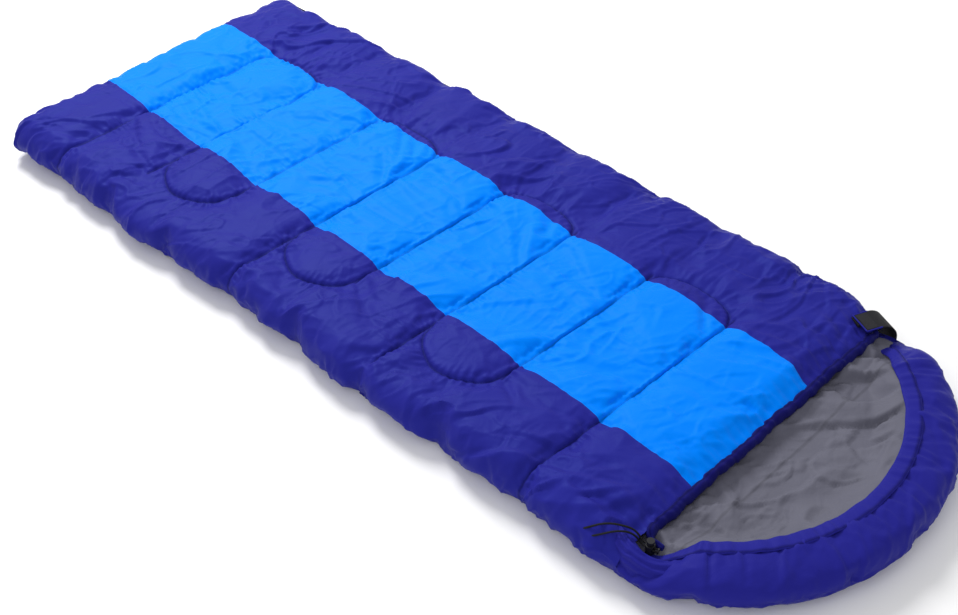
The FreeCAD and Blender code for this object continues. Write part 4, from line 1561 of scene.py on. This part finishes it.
class SLEEPINGBAG_OT_mouth(MakesAPiece, bpy.types.Operator):
    """Gathered casing along the mouth of the top quilt"""

    bl_idname = "sleeping_bag.mouth"
    bl_label = "Mouth casing"

    def execute(self, context):
        make_mouth_casing()
        return {"FINISHED"}


class SLEEPINGBAG_OT_drawcord(MakesAPiece, bpy.types.Operator):
    """Free ends of the drawcord and the knot that joins them"""

    bl_idname = "sleeping_bag.drawcord"
    bl_label = "Drawcord"

    def execute(self, context):
        upper = make_cord("drawcord_upper_end", "drawcord_upper_tail", UPPER_TAIL)
        lower = make_cord("drawcord_lower_end", "drawcord_lower_tail", LOWER_TAIL)
        knot = make_knot()
        return {"FINISHED"}


class SLEEPINGBAG_OT_tab(MakesAPiece, bpy.types.Operator):
    """Closing strap with its piping and blank label"""

    bl_idname = "sleeping_bag.tab"
    bl_label = "Closing tab"

    def execute(self, context):
        make_tab()
        return {"FINISHED"}


class SLEEPINGBAG_OT_zip(MakesAPiece, bpy.types.Operator):
    """Zip tapes and teeth along the side and the foot"""

    bl_idname = "sleeping_bag.zip"
    bl_label = "Zip"

    def execute(self, context):
        make_zip_tape("under", "under_quilt", 0.0305, 0.0430)
        make_zip_tape("top", "top_quilt", 0.0450, 0.0575)
        make_zip_teeth("under", "under_quilt", 0.0418, 1.0)
        make_zip_teeth("top", "top_quilt", 0.0462, -1.0)
        return {"FINISHED"}


class SLEEPINGBAG_OT_fittings(MakesAPiece, bpy.types.Operator):
    """Finishes of the sliders, stops, lock and eyelet"""

    bl_idname = "sleeping_bag.fittings"
    bl_label = "Fittings"

    def execute(self, context):
        finish_cad_nodes()
        return {"FINISHED"}


class SLEEPINGBAG_PT_panel(bpy.types.Panel):
    """Sizes, colours and the pieces in the order they are made"""

    bl_label = "Sleeping Bag"
    bl_idname = "SLEEPINGBAG_PT_panel"
    bl_space_type = "VIEW_3D"
    bl_region_type = "UI"
    bl_category = "Sleeping Bag"

    def draw(self, context):
        for group in (sizes(), colours()):
            for name in group.__annotations__:
                self.layout.prop(group, name)
        for item in OPERATORS:
            self.layout.operator(item.bl_idname)


OPERATORS = (
    SLEEPINGBAG_OT_stage,
    SLEEPINGBAG_OT_drawcord,
    SLEEPINGBAG_OT_top_shell,
    SLEEPINGBAG_OT_under_shell,
    SLEEPINGBAG_OT_linings,
    SLEEPINGBAG_OT_hood,
    SLEEPINGBAG_OT_mouth,
    SLEEPINGBAG_OT_tab,
    SLEEPINGBAG_OT_zip,
    SLEEPINGBAG_OT_fittings,
)
CLASSES = (SleepingBagColours, SleepingBagSizes, *OPERATORS, SLEEPINGBAG_PT_panel)


def register():
    for item in CLASSES:
        bpy.utils.register_class(item)
    bpy.types.Scene.sleeping_bag_colours = PointerProperty(type=SleepingBagColours)
    bpy.types.Scene.sleeping_bag_sizes = PointerProperty(type=SleepingBagSizes)


def unregister():
    del bpy.types.Scene.sleeping_bag_sizes
    del bpy.types.Scene.sleeping_bag_colours
    for item in reversed(CLASSES):
        bpy.utils.unregister_class(item)


def main():
    register()
    for item in OPERATORS:
        group, name = item.bl_idname.split(".")
        getattr(getattr(bpy.ops, group), name)()


if __name__ == "__main__":
    main()
